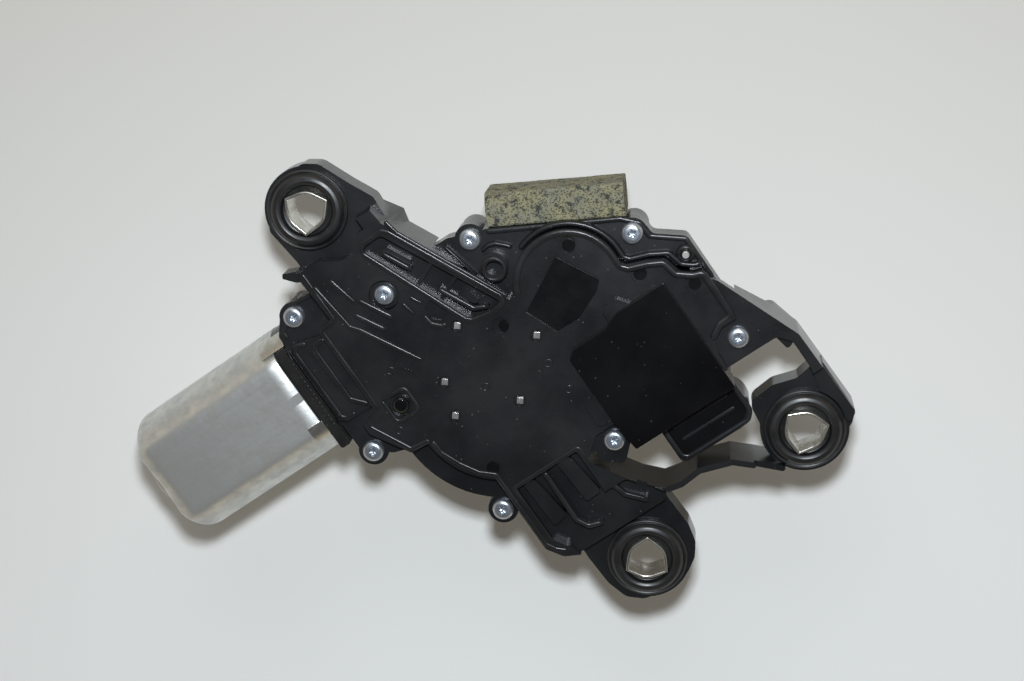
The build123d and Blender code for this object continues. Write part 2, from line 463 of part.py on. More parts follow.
def gear_housing():
    """Lower shell: flange, gear chamber, worm tunnel, motor flange and spindle tower."""
    low = HOUSING_TOP - HOUSING_FLANGE
    shell = flange_body(low, HOUSING_TOP)
    body = plate(
        [(-86.0, 35.0), (-30.0, 35.0), (-11.0, 29.0), (23.0, 10.0), (29.5, -4.0), (42.0, -12.0),
         (42.0, -43.0), (28.0, -43.0), (28.0, -63.5), (-14.5, -63.5), (-14.5, -43.0), (-60.0, -43.0),
         (-80.0, -14.0), (-86.0, -10.0)],
        [3, 3, 4, 6, 4, 3, 3, 2, 2, 2, 3, 3, 6, 4], CHAMBER_FLOOR - FLOOR_WALL, low + 0.5)
    shell += body
    shell += disc(WHEEL, 39.3, POT_FLOOR - FLOOR_WALL, low + 0.5)
    shell += along_axis(-101.0, -24.0, 11.5)
    for centre in FLANGE_SCREWS + SEAT_SCREWS:
        shell += disc(centre, BOSS_R, CHAMBER_FLOOR - FLOOR_WALL, HOUSING_TOP)
    shell += can_bar(-101.0, -96.0, 0.5)
    # spindle tower, and the gussets that stiffen it
    shell += Pos(0, 0, TOWER_FOOT) * Cone(10.0, 12.0, CHAMBER_FLOOR - FLOOR_WALL - TOWER_FOOT,
                                          align=(Align.CENTER, Align.CENTER, Align.MIN))
    gusset = make_face(Polyline((9.0, -5.0), (20.0, -5.0), (9.0, -24.0), close=True))
    gusset = extrude(Plane.XZ * gusset, 1.0, both=True)
    for turn in range(15, 360, 60):
        shell += Rot(0, 0, turn) * gusset
    # hollows: chamber, wheel pot, worm tunnel, bearing seat and the way in for the armature
    shell -= block(-110, 60, -70, 60, HOUSING_TOP, 40)
    shell -= chamber(CHAMBER_FLOOR, HOUSING_TOP + 1)
    shell -= disc(WHEEL, 36.5, POT_FLOOR, HOUSING_TOP + 1)
    shell -= along_axis(-84.0, -27.5, 8.0)
    shell -= along_axis(-102.0, -84.0, 6.0)
    shell -= along_axis(-102.0, -94.0, 15.0)
    shell -= along_axis(-92.0, -84.0, 8.0)
    # seats of the two spindle bushes
    shell += disc((0, 0), 9.2, CHAMBER_FLOOR - 1, 2.0)
    shell -= disc((0, 0), SPINDLE_R + 0.6, -60, 20)
    shell -= disc((0, 0), 7.0, -5.0, 20)
    shell -= disc((0, 0), 7.0, TOWER_FOOT - 1, TOWER_FOOT + 13.0)
    # boss for the wheel's axle, screw pilots, pin hole
    shell += disc(WHEEL, 8.0, POT_FLOOR - 1, WHEEL_LOW - 0.6)
    shell -= disc(WHEEL, 4.0, POT_FLOOR, 0)
    for centre in FLANGE_SCREWS:
        shell -= disc(centre, SCREW_R, FLANGE_TOP - SCREW_LENGTH, 20)
    for centre in SEAT_SCREWS:
        shell -= disc(centre, SCREW_R, SEAT_Z - SCREW_LENGTH, 20)
    shell -= disc(LOCATING_PIN, LOCATING_R, 4.0, 20)
    return shell


def cover_gasket():
    """Flat seal between the two flanges."""
    seal = flange_body(HOUSING_TOP, SEAM) - chamber(HOUSING_TOP - 1, SEAM + 1)
    seal -= along_axis(-102.0, -84.0, 15.0)
    for centre in FLANGE_SCREWS + SEAT_SCREWS:
        seal -= disc(centre, SCREW_R + 0.25, 0, 20)
    return seal - disc(LOCATING_PIN, LOCATING_R, 0, 20)


# ---------------------------------------------------------------- mounting rubbers

def lobed_section(shrink):
    """The sleeve's section: a circle with three pointed lobes."""
    radius = SLEEVE_R + shrink
    tip = LOBE_TIP_R + shrink
    section = Circle(radius)
    half = radians(LOBE_HALF_ANGLE)
    for turn in (0, 120, 240):
        wedge = Polyline((radius * 0.8, 0), (radius * cos(half), -radius * sin(half)), (tip, 0),
                         (radius * cos(half), radius * sin(half)), close=True)
        section += Rot(0, 0, turn) * make_face(wedge)
    return section


def sleeve(name):
    """Zinc-plated spacer sleeve; its lower end is the mounting face."""
    tube = extrude(lobed_section(SLEEVE_WALL), SLEEVE_HEIGHT) - extrude(lobed_section(0), SLEEVE_HEIGHT)
    return Pos(*EYES[name], 0) * Rot(0, 0, LOBE_TURN[name]) * tube


def grommet(name):
    """Rubber ring with a groove that grips the eye's edge."""
    high, low, groove = GROMMET_HIGH, GROMMET_LOW, EYE_HOLE_R
    profile = make_face(Polyline(
        (SLEEVE_R, low), (12.6, low), (GROMMET_R, low + 1.8), (GROMMET_R, EYE_LOW), (groove, EYE_LOW),
        (groove, EYE_HIGH), (GROMMET_R, EYE_HIGH), (GROMMET_R, high - 2.4), (13.0, high - 0.4), (11.2, high),
        (9.8, high - 0.6), (8.9, high - 2.4), (SLEEVE_R, high - 2.4), close=True))
    body = revolve(Plane.XZ * profile, Axis.Z)
    body -= Rot(0, 0, LOBE_TURN[name]) * extrude(lobed_section(SLEEVE_WALL), SLEEVE_HEIGHT)
    return Pos(*EYES[name], 0) * body


# ---------------------------------------------------------------- motor

def motor_can():
    """Drawn steel pole housing with rounded end and a bearing boss."""
    shell = can_bar(CAN_END_X, CAN_OPEN_X, 0)
    shell = fillet(shell.faces().sort_by(Axis.X)[0].edges(), CAN_END_R)
    shell += along_axis(CAN_BOSS_X, CAN_END_X + 1, CAN_BOSS_R)
    shell = chamfer(shell.faces().sort_by(Axis.X)[0].edges(), 1.8)
    hollow = can_bar(CAN_END_X + CAN_WALL, CAN_OPEN_X + 1, CAN_WALL)
    hollow = chamfer(hollow.faces().sort_by(Axis.X)[0].edges(), CAN_END_R / 2)
    hollow += along_axis(CAN_BOSS_X + CAN_WALL, CAN_END_X + 3, CAN_BOSS_R - CAN_WALL)
    return shell - hollow


def brush_holder():
    """Moulded plug between can and housing; it carries the brushes and closes the can."""
    holder = can_bar(CAN_OPEN_X, -101.0, 0.2) + can_bar(-113.0, CAN_OPEN_X, CAN_WALL + 0.05)
    holder += plate([(-105.4, -5.0), (-105.4, 38.0), (-101.2, 38.0), (-101.2, -5.0)], [1, 1, 1, 1],
                    AXIS_Z + 4, AXIS_Z + 20.6)
    holder -= along_axis(-114.0, -100.0, 15.5)
    holder += tube_on_axis(-104.0, -101.0, 6.0, 16.0)
    for side in (-1, 1):
        y_low, y_high = sorted((AXIS_Y + side * 9.0, AXIS_Y + side * 16.0))
        tunnel = block(-112.5, -105.0, y_low, y_high, AXIS_Z - 4.0, AXIS_Z + 4.0)
        holder += tunnel - block(-111.5, -106.0, y_low - 1, y_high + 1, AXIS_Z - 3.0, AXIS_Z + 3.0)
    return holder


def brushes(start, end):
    """Two equal blocks in the brush tunnels, between two distances from the axis."""
    pair = []
    for side in (-1, 1):
        y_low, y_high = sorted((AXIS_Y + side * start, AXIS_Y + side * end))
        pair.append(block(-111.4, -106.1, y_low, y_high, AXIS_Z - 2.9, AXIS_Z + 2.9))
    return Compound(children=pair)


def brush_springs():
    """Two coil springs, drawn as their outer tubes, behind the brushes."""
    pair = []
    for side in (-1, 1):
        coil = Cylinder(2.4, 2.2, align=(Align.CENTER, Align.CENTER, Align.MIN)) \
            - Cylinder(1.7, 2.2, align=(Align.CENTER, Align.CENTER, Align.MIN))
        pair.append(Pos(-108.75, AXIS_Y + side * 13.0, AXIS_Z) * Rot(-90 * side, 0, 0) * coil)
    return Compound(children=pair)


def can_clips():
    """Two spring clips that hook the can's open edge to the brush holder."""
    strap = can_bar(-112.0, -101.2, -1.0) - can_bar(-113.0, -100.0, 0)
    upper = strap & block(-111.5, -101.2, 38.3, 43.0, AXIS_Z, 20)
    lower = strap & block(-112.0, -105.5, 2.0, 8.0, AXIS_Z, 20)
    return Compound(children=[upper.solid(), lower.solid()])


def field_magnets():
    """Two curved magnets against the can's round sides."""
    inner, outer = MAGNET_R
    half = radians(MAGNET_HALF_ANGLE)
    pair = []
    for side in (0, 180):
        opening = make_face(Polyline((0, 0), (2 * outer, -2 * outer * tan(half)),
                                     (2 * outer, 2 * outer * tan(half)), close=True))
        section = (Circle(outer) - Circle(inner)) & opening
        plane = Plane(origin=(-162.0, AXIS_Y, AXIS_Z), x_dir=(0, 1, 0), z_dir=(1, 0, 0))
        pair.append(extrude(plane * Rot(0, 0, side) * section, 42.0))
    return Compound(children=pair)


def armature_core():
    """Stack of laminations with twelve winding slots."""
    section = Circle(CORE_R) - Circle(SHAFT_R)
    for turn in range(12):
        slot = Rot(0, 0, 30 * turn) * Pos(CORE_R - 3.6, 0) * Rectangle(5.0, 3.4)
        mouth = Rot(0, 0, 30 * turn) * Pos(CORE_R - 0.5, 0) * Rectangle(2.0, 1.4)
        section -= slot + mouth
    plane = Plane(origin=(-159.0, AXIS_Y, AXIS_Z), x_dir=(0, 1, 0), z_dir=(1, 0, 0))
    return extrude(plane * section, 36.0)


def winding_end(x, way):
    """The bulge of wire at one end of the core."""
    profile = make_face(Polyline((0, 6.0), (6.0, 6.0), (7.0, 8.0), (6.6, 11.5), (4.0, 14.8), (0, 15.6),
                                 close=True))
    bulge = revolve(Plane.XY * profile, Axis.X)
    turned = bulge if way > 0 else Rot(0, 180, 0) * bulge
    return Pos(x, AXIS_Y, AXIS_Z) * turned


def worm_thread():
    """A right-handed single thread; a gap of the thread faces the wheel's middle tooth."""
    pitch = pi * WORM_MODULE
    turns = int(WORM_LENGTH / pitch)
    start_x = WHEEL[0] - (turns / 2) * pitch
    if turns % 2 == 0:
        start_x -= pitch / 2
    root = WORM_PITCH_R - 1.25 * WORM_MODULE
    tip = WORM_PITCH_R + 0.95 * WORM_MODULE
    half = 0.6 * WORM_MODULE
    slope = tan(radians(20.0))
    plane = Plane(origin=(start_x, AXIS_Y, AXIS_Z), x_dir=(0, -1, 0), z_dir=(1, 0, 0))
    path = Helix(pitch, turns * pitch, root)
    low, high = root - 0.5, tip
    section = make_face(Polyline(
        (low, 0, -half - (WORM_PITCH_R - low) * slope), (high, 0, -half + (high - WORM_PITCH_R) * slope),
        (high, 0, half - (high - WORM_PITCH_R) * slope), (low, 0, half + (WORM_PITCH_R - low) * slope),
        close=True))
    thread = sweep(section, path=path, is_frenet=True)
    return plane.location * thread


def armature_shaft():
    """Steel shaft, ground for its bearings, with the worm cut near its far end."""
    shaft = along_axis(CAN_BOSS_X + 2.6, -63.0, SHAFT_R)
    shaft += along_axis(-63.0, -28.5, WORM_PITCH_R - 1.25 * WORM_MODULE)
    return shaft + worm_thread()


# ---------------------------------------------------------------- gears

def worm_wheel():
    """Plastic wheel with straight-cut teeth, a thin web and eight ribs."""
    pitch_r = WORM_MODULE * WHEEL_TEETH / 2
    root = (pitch_r - 1.2, 0.6 + 1.2 * tan(radians(20.0)))
    tip = (pitch_r + 0.95, 0.6 - 0.95 * tan(radians(20.0)))
    tooth = [(root[0], -root[1]), (tip[0], -tip[1]), tip, root]
    rim = []
    for step in range(WHEEL_TEETH):
        turn = radians(90.0 + 360.0 * step / WHEEL_TEETH)
        rim += [(x * cos(turn) - y * sin(turn), x * sin(turn) + y * cos(turn)) for x, y in tooth]
    wheel = extrude(make_face(Polyline(*rim, close=True)), WHEEL_HIGH - WHEEL_LOW)
    hollow = extrude(Circle(pitch_r - 5.0) - Circle(16.5), 6.5)
    for turn in range(8):
        hollow -= Rot(0, 0, 45 * turn) * Pos(22.5, 0, 3) * Box(18, 1.6, 8)
    wheel -= hollow
    wheel -= Cylinder(SHAFT_R + RUNNING, 40)
    wheel -= Pos(CRANK[0] - WHEEL[0], CRANK[1] - WHEEL[1], 0) * Cylinder(3.0, 40)
    return Pos(WHEEL[0], WHEEL[1], WHEEL_LOW) * wheel


def contact_disc():
    """Thin brass track on the wheel's face, with the parking gap cut out."""
    track = Circle(31.0) - Circle(21.0)
    track -= Rot(0, 0, 160) * Pos(28.5, 0) * Rectangle(6.0, 9.0)
    return Pos(WHEEL[0], WHEEL[1], WHEEL_HIGH) * extrude(track, 0.4)


def toothed_link():
    """The coupling link: a toothed sector round the link pin, a waisted arm, an eye for the crank pin."""
    thickness = LINK_HIGH - LINK_LOW
    pitch_r = DRIVE_MODULE * SECTOR_TEETH / 2
    root_r = pitch_r - 1.2 * DRIVE_MODULE
    towards = LEVER_ANGLE + 180.0
    spread = 360.0 / SECTOR_TEETH
    wedge = make_face(Polyline((0, 0), (30 * cos(radians(54)), -30 * sin(radians(54))), (42, 0),
                               (30 * cos(radians(54)), 30 * sin(radians(54))), close=True))
    body = Circle(root_r) & (Rot(0, 0, towards) * wedge)
    for step in (-2.5, -1.5, -0.5, 0.5, 1.5, 2.5):
        body += gear_tooth(DRIVE_MODULE, SECTOR_TEETH, 0.2, towards + step * spread)
    body += Circle(8.5)
    eye = (CRANK[0] - LINK_PIN[0], CRANK[1] - LINK_PIN[1])
    length = hypot(*eye)
    turn = degrees(atan2(eye[1], eye[0]))
    arm = make_face(Polyline((0, -8.0), (length * 0.3, -5.0), (length, -5.5), (length, 5.5),
                             (length * 0.3, 5.0), (0, 8.0), close=True))
    body += Rot(0, 0, turn) * arm
    body += Pos(*eye) * Circle(7.5)
    body -= Pos(*eye) * Circle(4.0)
    body -= Circle(3.0 + RUNNING)
    return Pos(LINK_PIN[0], LINK_PIN[1], LINK_LOW) * extrude(body, thickness)


def guide_lever():
    """Pressed lever that keeps the sector in mesh with the pinion."""
    lever = Circle(8.0) + Rot(0, 0, LEVER_ANGLE) * Pos(LEVER / 2, 0) * Rectangle(LEVER, 10.0)
    lever += Pos(*LINK_PIN) * Circle(7.0)
    lever -= Circle(4.0 + RUNNING) + Pos(*LINK_PIN) * Circle(3.0)
    return Pos(0, 0, LEVER_LOW) * extrude(lever, LEVER_HIGH - LEVER_LOW)


def output_pinion():
    pitch_r = DRIVE_MODULE * PINION_TEETH / 2
    body = Circle(pitch_r - 1.2 * DRIVE_MODULE)
    for step in range(PINION_TEETH):
        body += gear_tooth(DRIVE_MODULE, PINION_TEETH, 0.2, LEVER_ANGLE + 360.0 / PINION_TEETH * step)
    body -= Circle(SPINDLE_R)
    return Pos(0, 0, PINION_LOW) * extrude(body, PINION_HIGH - PINION_LOW)


def output_spindle():
    """Stepped spindle with a knurled cone and a threaded end for the wiper arm."""
    thread_top = SPINDLE_TIP + THREAD_LENGTH
    profile = make_face(Polyline(
        (0, SPINDLE_TOP), (3.6, SPINDLE_TOP), (4.0, SPINDLE_TOP - 0.4), (4.0, PINION_HIGH + 0.1),
        (SPINDLE_R, PINION_HIGH + 0.1), (SPINDLE_R, thread_top + 8.0), (THREAD_R + 0.3, thread_top + 0.8),
        (THREAD_R, thread_top), (THREAD_R, SPINDLE_TIP + 0.8), (THREAD_R - 0.8, SPINDLE_TIP),
        (0, SPINDLE_TIP), close=True))
    spindle = revolve(Plane.XZ * profile, Axis.Z)
    return spindle - ring((0, 0), 3.4, 6.0, LEVER_HIGH + 0.1, LEVER_HIGH + 0.8)


def retaining_ring():
    clip = Circle(6.0) - Circle(3.4) - Pos(5, 0) * Rectangle(10.0, 4.0)
    return Pos(0, 0, LEVER_HIGH + 0.1) * extrude(clip, 0.7)


def crank_pin():
    return disc(CRANK, 3.0, WHEEL_LOW + 1, WHEEL_HIGH) + disc(CRANK, 3.9, WHEEL_HIGH, LINK_LOW - 0.3)


def link_pin():
    pin = disc(LINK_PIN, 3.0, LINK_LOW - 0.9, LEVER_HIGH)
    return pin + disc(LINK_PIN, 4.4, LINK_LOW - 1.4, LINK_LOW - 0.2)


# ---------------------------------------------------------------- electronics

def connector_terminals():
    """Four flat blades in the plug socket."""
    blades = [block(x - 1.4, x + 1.4, -72.0, -71.2, -2.0, SOCKET_ROOF) for x in (2.0, 8.0, 14.0, 20.0)]
    return Compound(children=blades)


def park_contacts():
    """Three spring fingers that reach from the cover to the wheel's track."""
    fingers = []
    for offset in (-5.0, 0.0, 5.0):
        y = WHEEL[1] + offset
        finger = block(-71.5, -70.5, y - 1.2, y + 1.2, 4.5, PLATE_TOP - PLATE_WALL)
        finger += Pos(-70.0, y, 4.0) * Rot(0, 38, 0) * Box(7.4, 2.4, 0.5)
        fingers.append(finger)
    return Compound(children=fingers)


def contact_pins():
    pins = [Pos(x, y, PLATE_TOP - 3.9) * Rot(0, 0, CONTACT_TURN) * Box(2.4, 2.4, 6.6) for x, y in CONTACTS]
    return Compound(children=pins)


def suppression_coils():
    """Two chokes lying in the brush holder, above and below the commutator."""
    coils = []
    for side in (-1, 1):
        bar = Pos(-106.0, AXIS_Y, AXIS_Z + side * 11.6) * Rot(90, 0, 0) * Cylinder(2.0, 12.0)
        coils.append(bar)
    return Compound(children=coils)


def cover_screws():
    """Pan-head screws with a six-cornered socket."""
    screws = []
    for centre, seat in [(c, FLANGE_TOP) for c in FLANGE_SCREWS] + [(c, SEAT_Z) for c in SEAT_SCREWS]:
        head = disc(centre, SCREW_HEAD_R, seat, seat + SCREW_HEAD_H)
        head = chamfer(head.faces().sort_by(Axis.Z)[-1].edges(), 1.1)
        head += disc(centre, SCREW_R, seat - SCREW_LENGTH, seat + 0.1)
        socket = extrude(RegularPolygon(1.7, 6), 1.5)
        screws.append(head - Pos(centre[0], centre[1], seat + SCREW_HEAD_H - 1.4) * socket)
    return Compound(children=screws)


def foam_pad():
    """Foam block stuck to the long straight side of the housing."""
    edge_turn = degrees(atan2(9.4 - 32.0, 27.5 + 13.0))
    pad = Box(50.0, 12.4, 22.0, align=(Align.MIN, Align.MIN, Align.MIN))
    return Pos(-13.7, 32.4, -9.0) * Rot(0, 0, edge_turn) * pad


# ---------------------------------------------------------------- the parts

def build_parts():
    parts = {
        "mounting_cover": mounting_cover(),
        "gear_housing": gear_housing(),
        "cover_gasket": cover_gasket(),
        "motor_can": motor_can(),
        "brush_holder": brush_holder(),
        "can_clips": can_clips(),
        "carbon_brushes": brushes(8.3, 13.0),
        "brush_springs": brush_springs(),
        "field_magnets": field_magnets(),
        "rear_bearing": tube_on_axis(CAN_BOSS_X + 1.8, CAN_END_X + 3, SHAFT_R + RUNNING, CAN_BOSS_R - CAN_WALL),
        "front_bearing": tube_on_axis(-92.0, -85.0, SHAFT_R + RUNNING, 8.0),
        "thrust_pad": along_axis(-28.4, -27.5, 6.0),
        "armature_shaft": armature_shaft(),
        "armature_core": armature_core(),
        "armature_windings": Compound(children=[winding_end(-123.0, 1), winding_end(-159.0, -1)]),
        "commutator": tube_on_axis(-114.5, -105.0, SHAFT_R, 8.0),
        "worm_wheel": worm_wheel(),
        "wheel_axle": disc(WHEEL, 4.0, POT_FLOOR, 2.4),
        "contact_disc": contact_disc(),
        "crank_pin": crank_pin(),
        "toothed_link": toothed_link(),
        "link_pin": link_pin(),
        "guide_lever": guide_lever(),
        "output_pinion": output_pinion(),
        "output_spindle": output_spindle(),
        "retaining_ring": retaining_ring(),
        "thrust_washer": ring((0, 0), SPINDLE_R + 0.05, 9.0, 2.1, 2.9),
        "upper_bush": ring((0, 0), SPINDLE_R + RUNNING, 7.0, -5.0, 2.0),
        "lower_bush": ring((0, 0), SPINDLE_R + RUNNING, 7.0, TOWER_FOOT + 3.0, TOWER_FOOT + 13.0),
        "spindle_seal": ring((0, 0), SPINDLE_R + RUNNING, 7.0, TOWER_FOOT + 0.2, TOWER_FOOT + 3.0),
        "circuit_board": block(-10.5, 24.0, -60.0, -23.2, BOARD_LOW, BOARD_HIGH),
        "relay": block(-9.0, 6.0, -59.0, -43.0, 0.0, BOARD_LOW),
        "capacitor": disc((15.0, -50.0), 4.0, 2.0, BOARD_LOW),
        "suppression_coils": suppression_coils(),
        "park_contacts": park_contacts(),
        "contact_pins": contact_pins(),
        "connector_terminals": connector_terminals(),
        "locating_pin": disc(LOCATING_PIN, LOCATING_R, 4.0, 16.8),
        "cover_screws": cover_screws(),
        "foam_pad": foam_pad(),
    }
    for name in EYES:
        parts[name + "_grommet"] = grommet(name)
        parts[name + "_sleeve"] = sleeve(name)
    return parts


if __name__ == "__main__":
    os.makedirs("parts", exist_ok=True)
    for name, shape in build_parts().items():
        export_step(Pos(0, 0, ORIGIN_LIFT) * shape, "parts/" + name + ".step")
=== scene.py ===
import logging
import math
from dataclasses import dataclass, field
from enum import Enum

import bmesh
import bpy
import numpy as np
from mathutils import Matrix, Vector
from mathutils.geometry import tessellate_polygon


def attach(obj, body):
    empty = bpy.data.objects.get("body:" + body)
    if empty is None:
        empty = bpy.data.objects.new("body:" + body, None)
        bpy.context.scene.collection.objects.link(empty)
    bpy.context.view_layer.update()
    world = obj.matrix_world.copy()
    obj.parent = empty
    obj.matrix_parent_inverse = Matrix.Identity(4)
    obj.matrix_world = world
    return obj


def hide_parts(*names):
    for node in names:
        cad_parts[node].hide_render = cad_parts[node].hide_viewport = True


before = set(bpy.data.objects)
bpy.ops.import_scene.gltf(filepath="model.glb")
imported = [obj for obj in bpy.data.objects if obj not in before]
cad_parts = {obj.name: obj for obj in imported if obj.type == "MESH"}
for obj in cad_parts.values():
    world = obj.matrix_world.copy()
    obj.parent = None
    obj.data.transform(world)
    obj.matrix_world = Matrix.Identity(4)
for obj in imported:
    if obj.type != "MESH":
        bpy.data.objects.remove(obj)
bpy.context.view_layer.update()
log = logging.getLogger("wiper_motor")

Point = tuple[float, float]
Triple = tuple[float, float, float]
Surface = tuple[np.ndarray, np.ndarray]  # points and faces
Socket = bpy.types.NodeSocket
Sockets = bpy.types.bpy_prop_collection
Inputs = dict[object, object]

# Lengths are millimetres, and levels are counted from the sleeves' feet.
MM = 0.001
LIFT = 50.0  # the sleeves' feet above the frame's origin
PLATE_TOP = 18.0
TERRACE_TOP = 16.4
FLANGE_TOP = 13.0
RAISED_SEAT = 15.2
AXIS_Y = 19.5  # the armature's axis
AXIS_Z = -4.0
EYES = {"upper": (-64.5, 74.0), "lower": (-36.0, -103.0), "side": (39.5, -93.0)}
LOBE_TURN = {"upper": -6.0, "lower": 55.0, "side": -18.0}
FLANGE_SCREWS = ((-91.5, 45.0), (-97.0, -12.5), (-69.5, -57.5), (-21.0, 32.5), (28.5, 2.0))
SEAT_SCREWS = ((-58.0, 33.5), (39.0, -50.0), (-19.5, -57.5))
RIDGE_POINTS = 13  # across a rib
RIDGE_SUNK = 0.3  # how far a rib's foot goes into the plate
WELD = 2e-6  # metres; points closer than this merge
COPY_WELD = 3e-6
FLAT_ANGLE = math.radians(0.6)  # faces closer than this merge
CORNER_ANGLE = math.radians(35.0)  # sharper corners are rounded


class Edges(Enum):
    """How far the corners of a finished copy are broken."""

    MOULDED = 0.45
    PRESSED = 0.2
    FINE = 0.12


# ------------------------------------------------------------------ arrays

def grid_faces(rows: int, cols: int, wrap_rows: bool = False, wrap_cols: bool = False) -> np.ndarray:
    """Quads of a grid of points numbered row by row.

    Args:
        rows: number of rows of points.
        cols: number of points in a row.
        wrap_rows: whether the last row joins the first.
        wrap_cols: whether the last column joins the first.

    Returns:
        An array of four point numbers for each quad.
    """
    down, across = np.meshgrid(np.arange(rows if wrap_rows else rows - 1),
                               np.arange(cols if wrap_cols else cols - 1), indexing="ij")
    below, beside = (down + 1) % rows, (across + 1) % cols
    corners = [down * cols + across, below * cols + across, below * cols + beside, down * cols + beside]
    return np.stack(corners, -1).reshape(-1, 4)


def full_turn(steps: int) -> np.ndarray:
    """Equal angles of one turn, in radians."""
    return np.linspace(0, 2 * np.pi, steps, endpoint=False)


def around(radius: np.ndarray, level: np.ndarray, centre: Point) -> np.ndarray:
    """Points round an upright axis: x = r cos a, y = r sin a from the centre, at equal angles a.

    Args:
        radius: one row for each level and one column for each angle.
        level: the levels, as a column.
        centre: the axis's place.

    Returns:
        An array of points, three numbers each, in the shape of radius.
    """
    angle = full_turn(radius.shape[1])[None, :]
    return np.stack([centre[0] + radius * np.cos(angle), centre[1] + radius * np.sin(angle),
                     np.broadcast_to(level, radius.shape)], -1)


def smooth_noise(points: np.ndarray, scale: float, seed: int, octaves: int) -> np.ndarray:
    """A fixed soft noise: each octave is a product of two sines plus a third, along turned directions.

    Args:
        points: an array of points, three numbers each.
        scale: size of the largest bumps.
        seed: picks the directions and phases.
        octaves: number of layers, each half the size and height of the one before.

    Returns:
        One value from -1 to 1 for each point.
    """
    rng = np.random.default_rng(seed)
    total = np.zeros(points.shape[:-1])
    height, weight = 1.0, 0.0
    for octave in range(octaves):
        directions = rng.normal(size=(3, 3))
        directions /= np.linalg.norm(directions, axis=1)[:, None]
        phases = rng.uniform(0, 2 * np.pi, 3)
        waves = np.sin(points @ directions.T * (2 * np.pi / scale * 2 ** octave) + phases)
        total += height * (waves[..., 0] * waves[..., 1] + waves[..., 2]) / 2
        weight += height
        height *= 0.5
    return total / weight


def rounded_path(corners: tuple[Point, ...], radii: list[float], closed: bool,
                 arc_steps: int = 6) -> np.ndarray:
    """Points along straight runs with an arc at each corner.

    A corner's arc starts and ends at radius / tan(half the opening) from the corner, at most 0.48 of a run;
    its points are a quadratic blend of start, corner and end, which bends as the arc does.

    Args:
        corners: the corner points.
        radii: one radius for each corner.
        closed: whether the last corner joins the first.
        arc_steps: pieces of each arc.

    Returns:
        An array of points, two numbers each.
    """
    points = np.array(corners, float)
    rows = []
    for index, radius in enumerate(radii):
        corner = points[index]
        if radius <= 0 or (not closed and index in (0, len(radii) - 1)):
            rows.append(corner[None, :])
            continue
        back = points[index - 1] - corner
        ahead = points[(index + 1) % len(points)] - corner
        back_length, ahead_length = np.linalg.norm(back), np.linalg.norm(ahead)
        cosine = float(np.clip(back @ ahead / back_length / ahead_length, -1, 1))
        half = math.acos(cosine) / 2
        reach = min(radius / max(math.tan(half), 1e-6), 0.48 * back_length, 0.48 * ahead_length)
        start, end = corner + back / back_length * reach, corner + ahead / ahead_length * reach
        t = np.linspace(0, 1, arc_steps + 1)[:, None]
        rows.append((1 - t) ** 2 * start + 2 * t * (1 - t) * corner + t ** 2 * end)
    return np.concatenate(rows)


def run_along(path: np.ndarray) -> np.ndarray:
    """The length of a path up to each of its points."""
    return np.concatenate([[0], np.cumsum(np.linalg.norm(np.diff(path, axis=0), axis=1))])


def points_at(path: np.ndarray, lengths: np.ndarray) -> np.ndarray:
    """The points at given lengths along a path."""
    run = run_along(path)
    return np.stack([np.interp(lengths, run, path[:, axis]) for axis in (0, 1)], -1)


def outward(loop: np.ndarray, closed: bool = True) -> np.ndarray:
    """Offset directions of a path, on its right-hand side, mitred so that an offset keeps its distance.

    Args:
        loop: the path's points, two numbers each.
        closed: whether the path closes.

    Returns:
        One direction for each point: the mean of its two runs' normals over the cosine of half their angle.
    """
    step = np.roll(loop, -1, axis=0) - loop
    if not closed:
        step[-1] = step[-2]
    normal = np.stack([step[:, 1], -step[:, 0]], -1)
    normal /= np.maximum(np.linalg.norm(normal, axis=1)[:, None], 1e-9)
    before = np.roll(normal, 1, axis=0)
    if not closed:
        before[0] = normal[0]
    mean = normal + before
    mean /= np.maximum(np.linalg.norm(mean, axis=1)[:, None], 1e-9)
    cosine = np.sum(mean * normal, axis=1)[:, None]
    return mean / np.maximum(cosine, 0.5)


# ------------------------------------------------------------------ meshes

def placed(name: str, data: bpy.types.ID) -> bpy.types.Object:
    """A new object in the scene, at the origin."""
    thing = bpy.data.objects.new(name, data)
    bpy.context.scene.collection.objects.link(thing)
    return thing


def make_piece(name: str, surface: Surface, material: bpy.types.Material, body: str,
               crease: float = 40.0) -> bpy.types.Object:
    """A mesh piece that rides on a body, its doubles merged and its faces turned outwards.

    Args:
        name: the piece's name.
        surface: its points and faces.
        material: its finish.
        body: the CAD body that it moves with.
        crease: edges sharper than this many degrees stay sharp.

    Returns:
        The new object.
    """
    points, faces = surface
    mesh = bpy.data.meshes.new(name)
    mesh.from_pydata((points.reshape(-1, 3) + (0.0, 0.0, LIFT)) * MM, [], faces.tolist())
    work = bmesh.new()
    work.from_mesh(mesh)
    bmesh.ops.remove_doubles(work, verts=work.verts, dist=WELD)
    bmesh.ops.dissolve_degenerate(work, edges=work.edges, dist=1e-7)
    bmesh.ops.recalc_face_normals(work, faces=work.faces)
    work.to_mesh(mesh)
    work.free()
    mesh.shade_smooth()
    mesh.set_sharp_from_angle(angle=math.radians(crease))
    mesh.materials.append(material)
    thing = placed(name, mesh)
    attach(thing, body)
    log.info("%s: %d faces on %s", name, len(mesh.polygons), body)
    return thing


def woven(points: np.ndarray, wrap_rows: bool = False, wrap_cols: bool = False) -> Surface:
    """Points and quads of a grid of points, shape (rows, columns, 3)."""
    rows, cols = points.shape[:2]
    return points.reshape(-1, 3), grid_faces(rows, cols, wrap_rows, wrap_cols)


def joined(parts: list[Surface]) -> Surface:
    """Several surfaces as one."""
    counts = np.cumsum([0] + [len(points) for points, _ in parts[:-1]])
    return (np.concatenate([points for points, _ in parts]),
            np.concatenate([faces + count for (_, faces), count in zip(parts, counts)]))


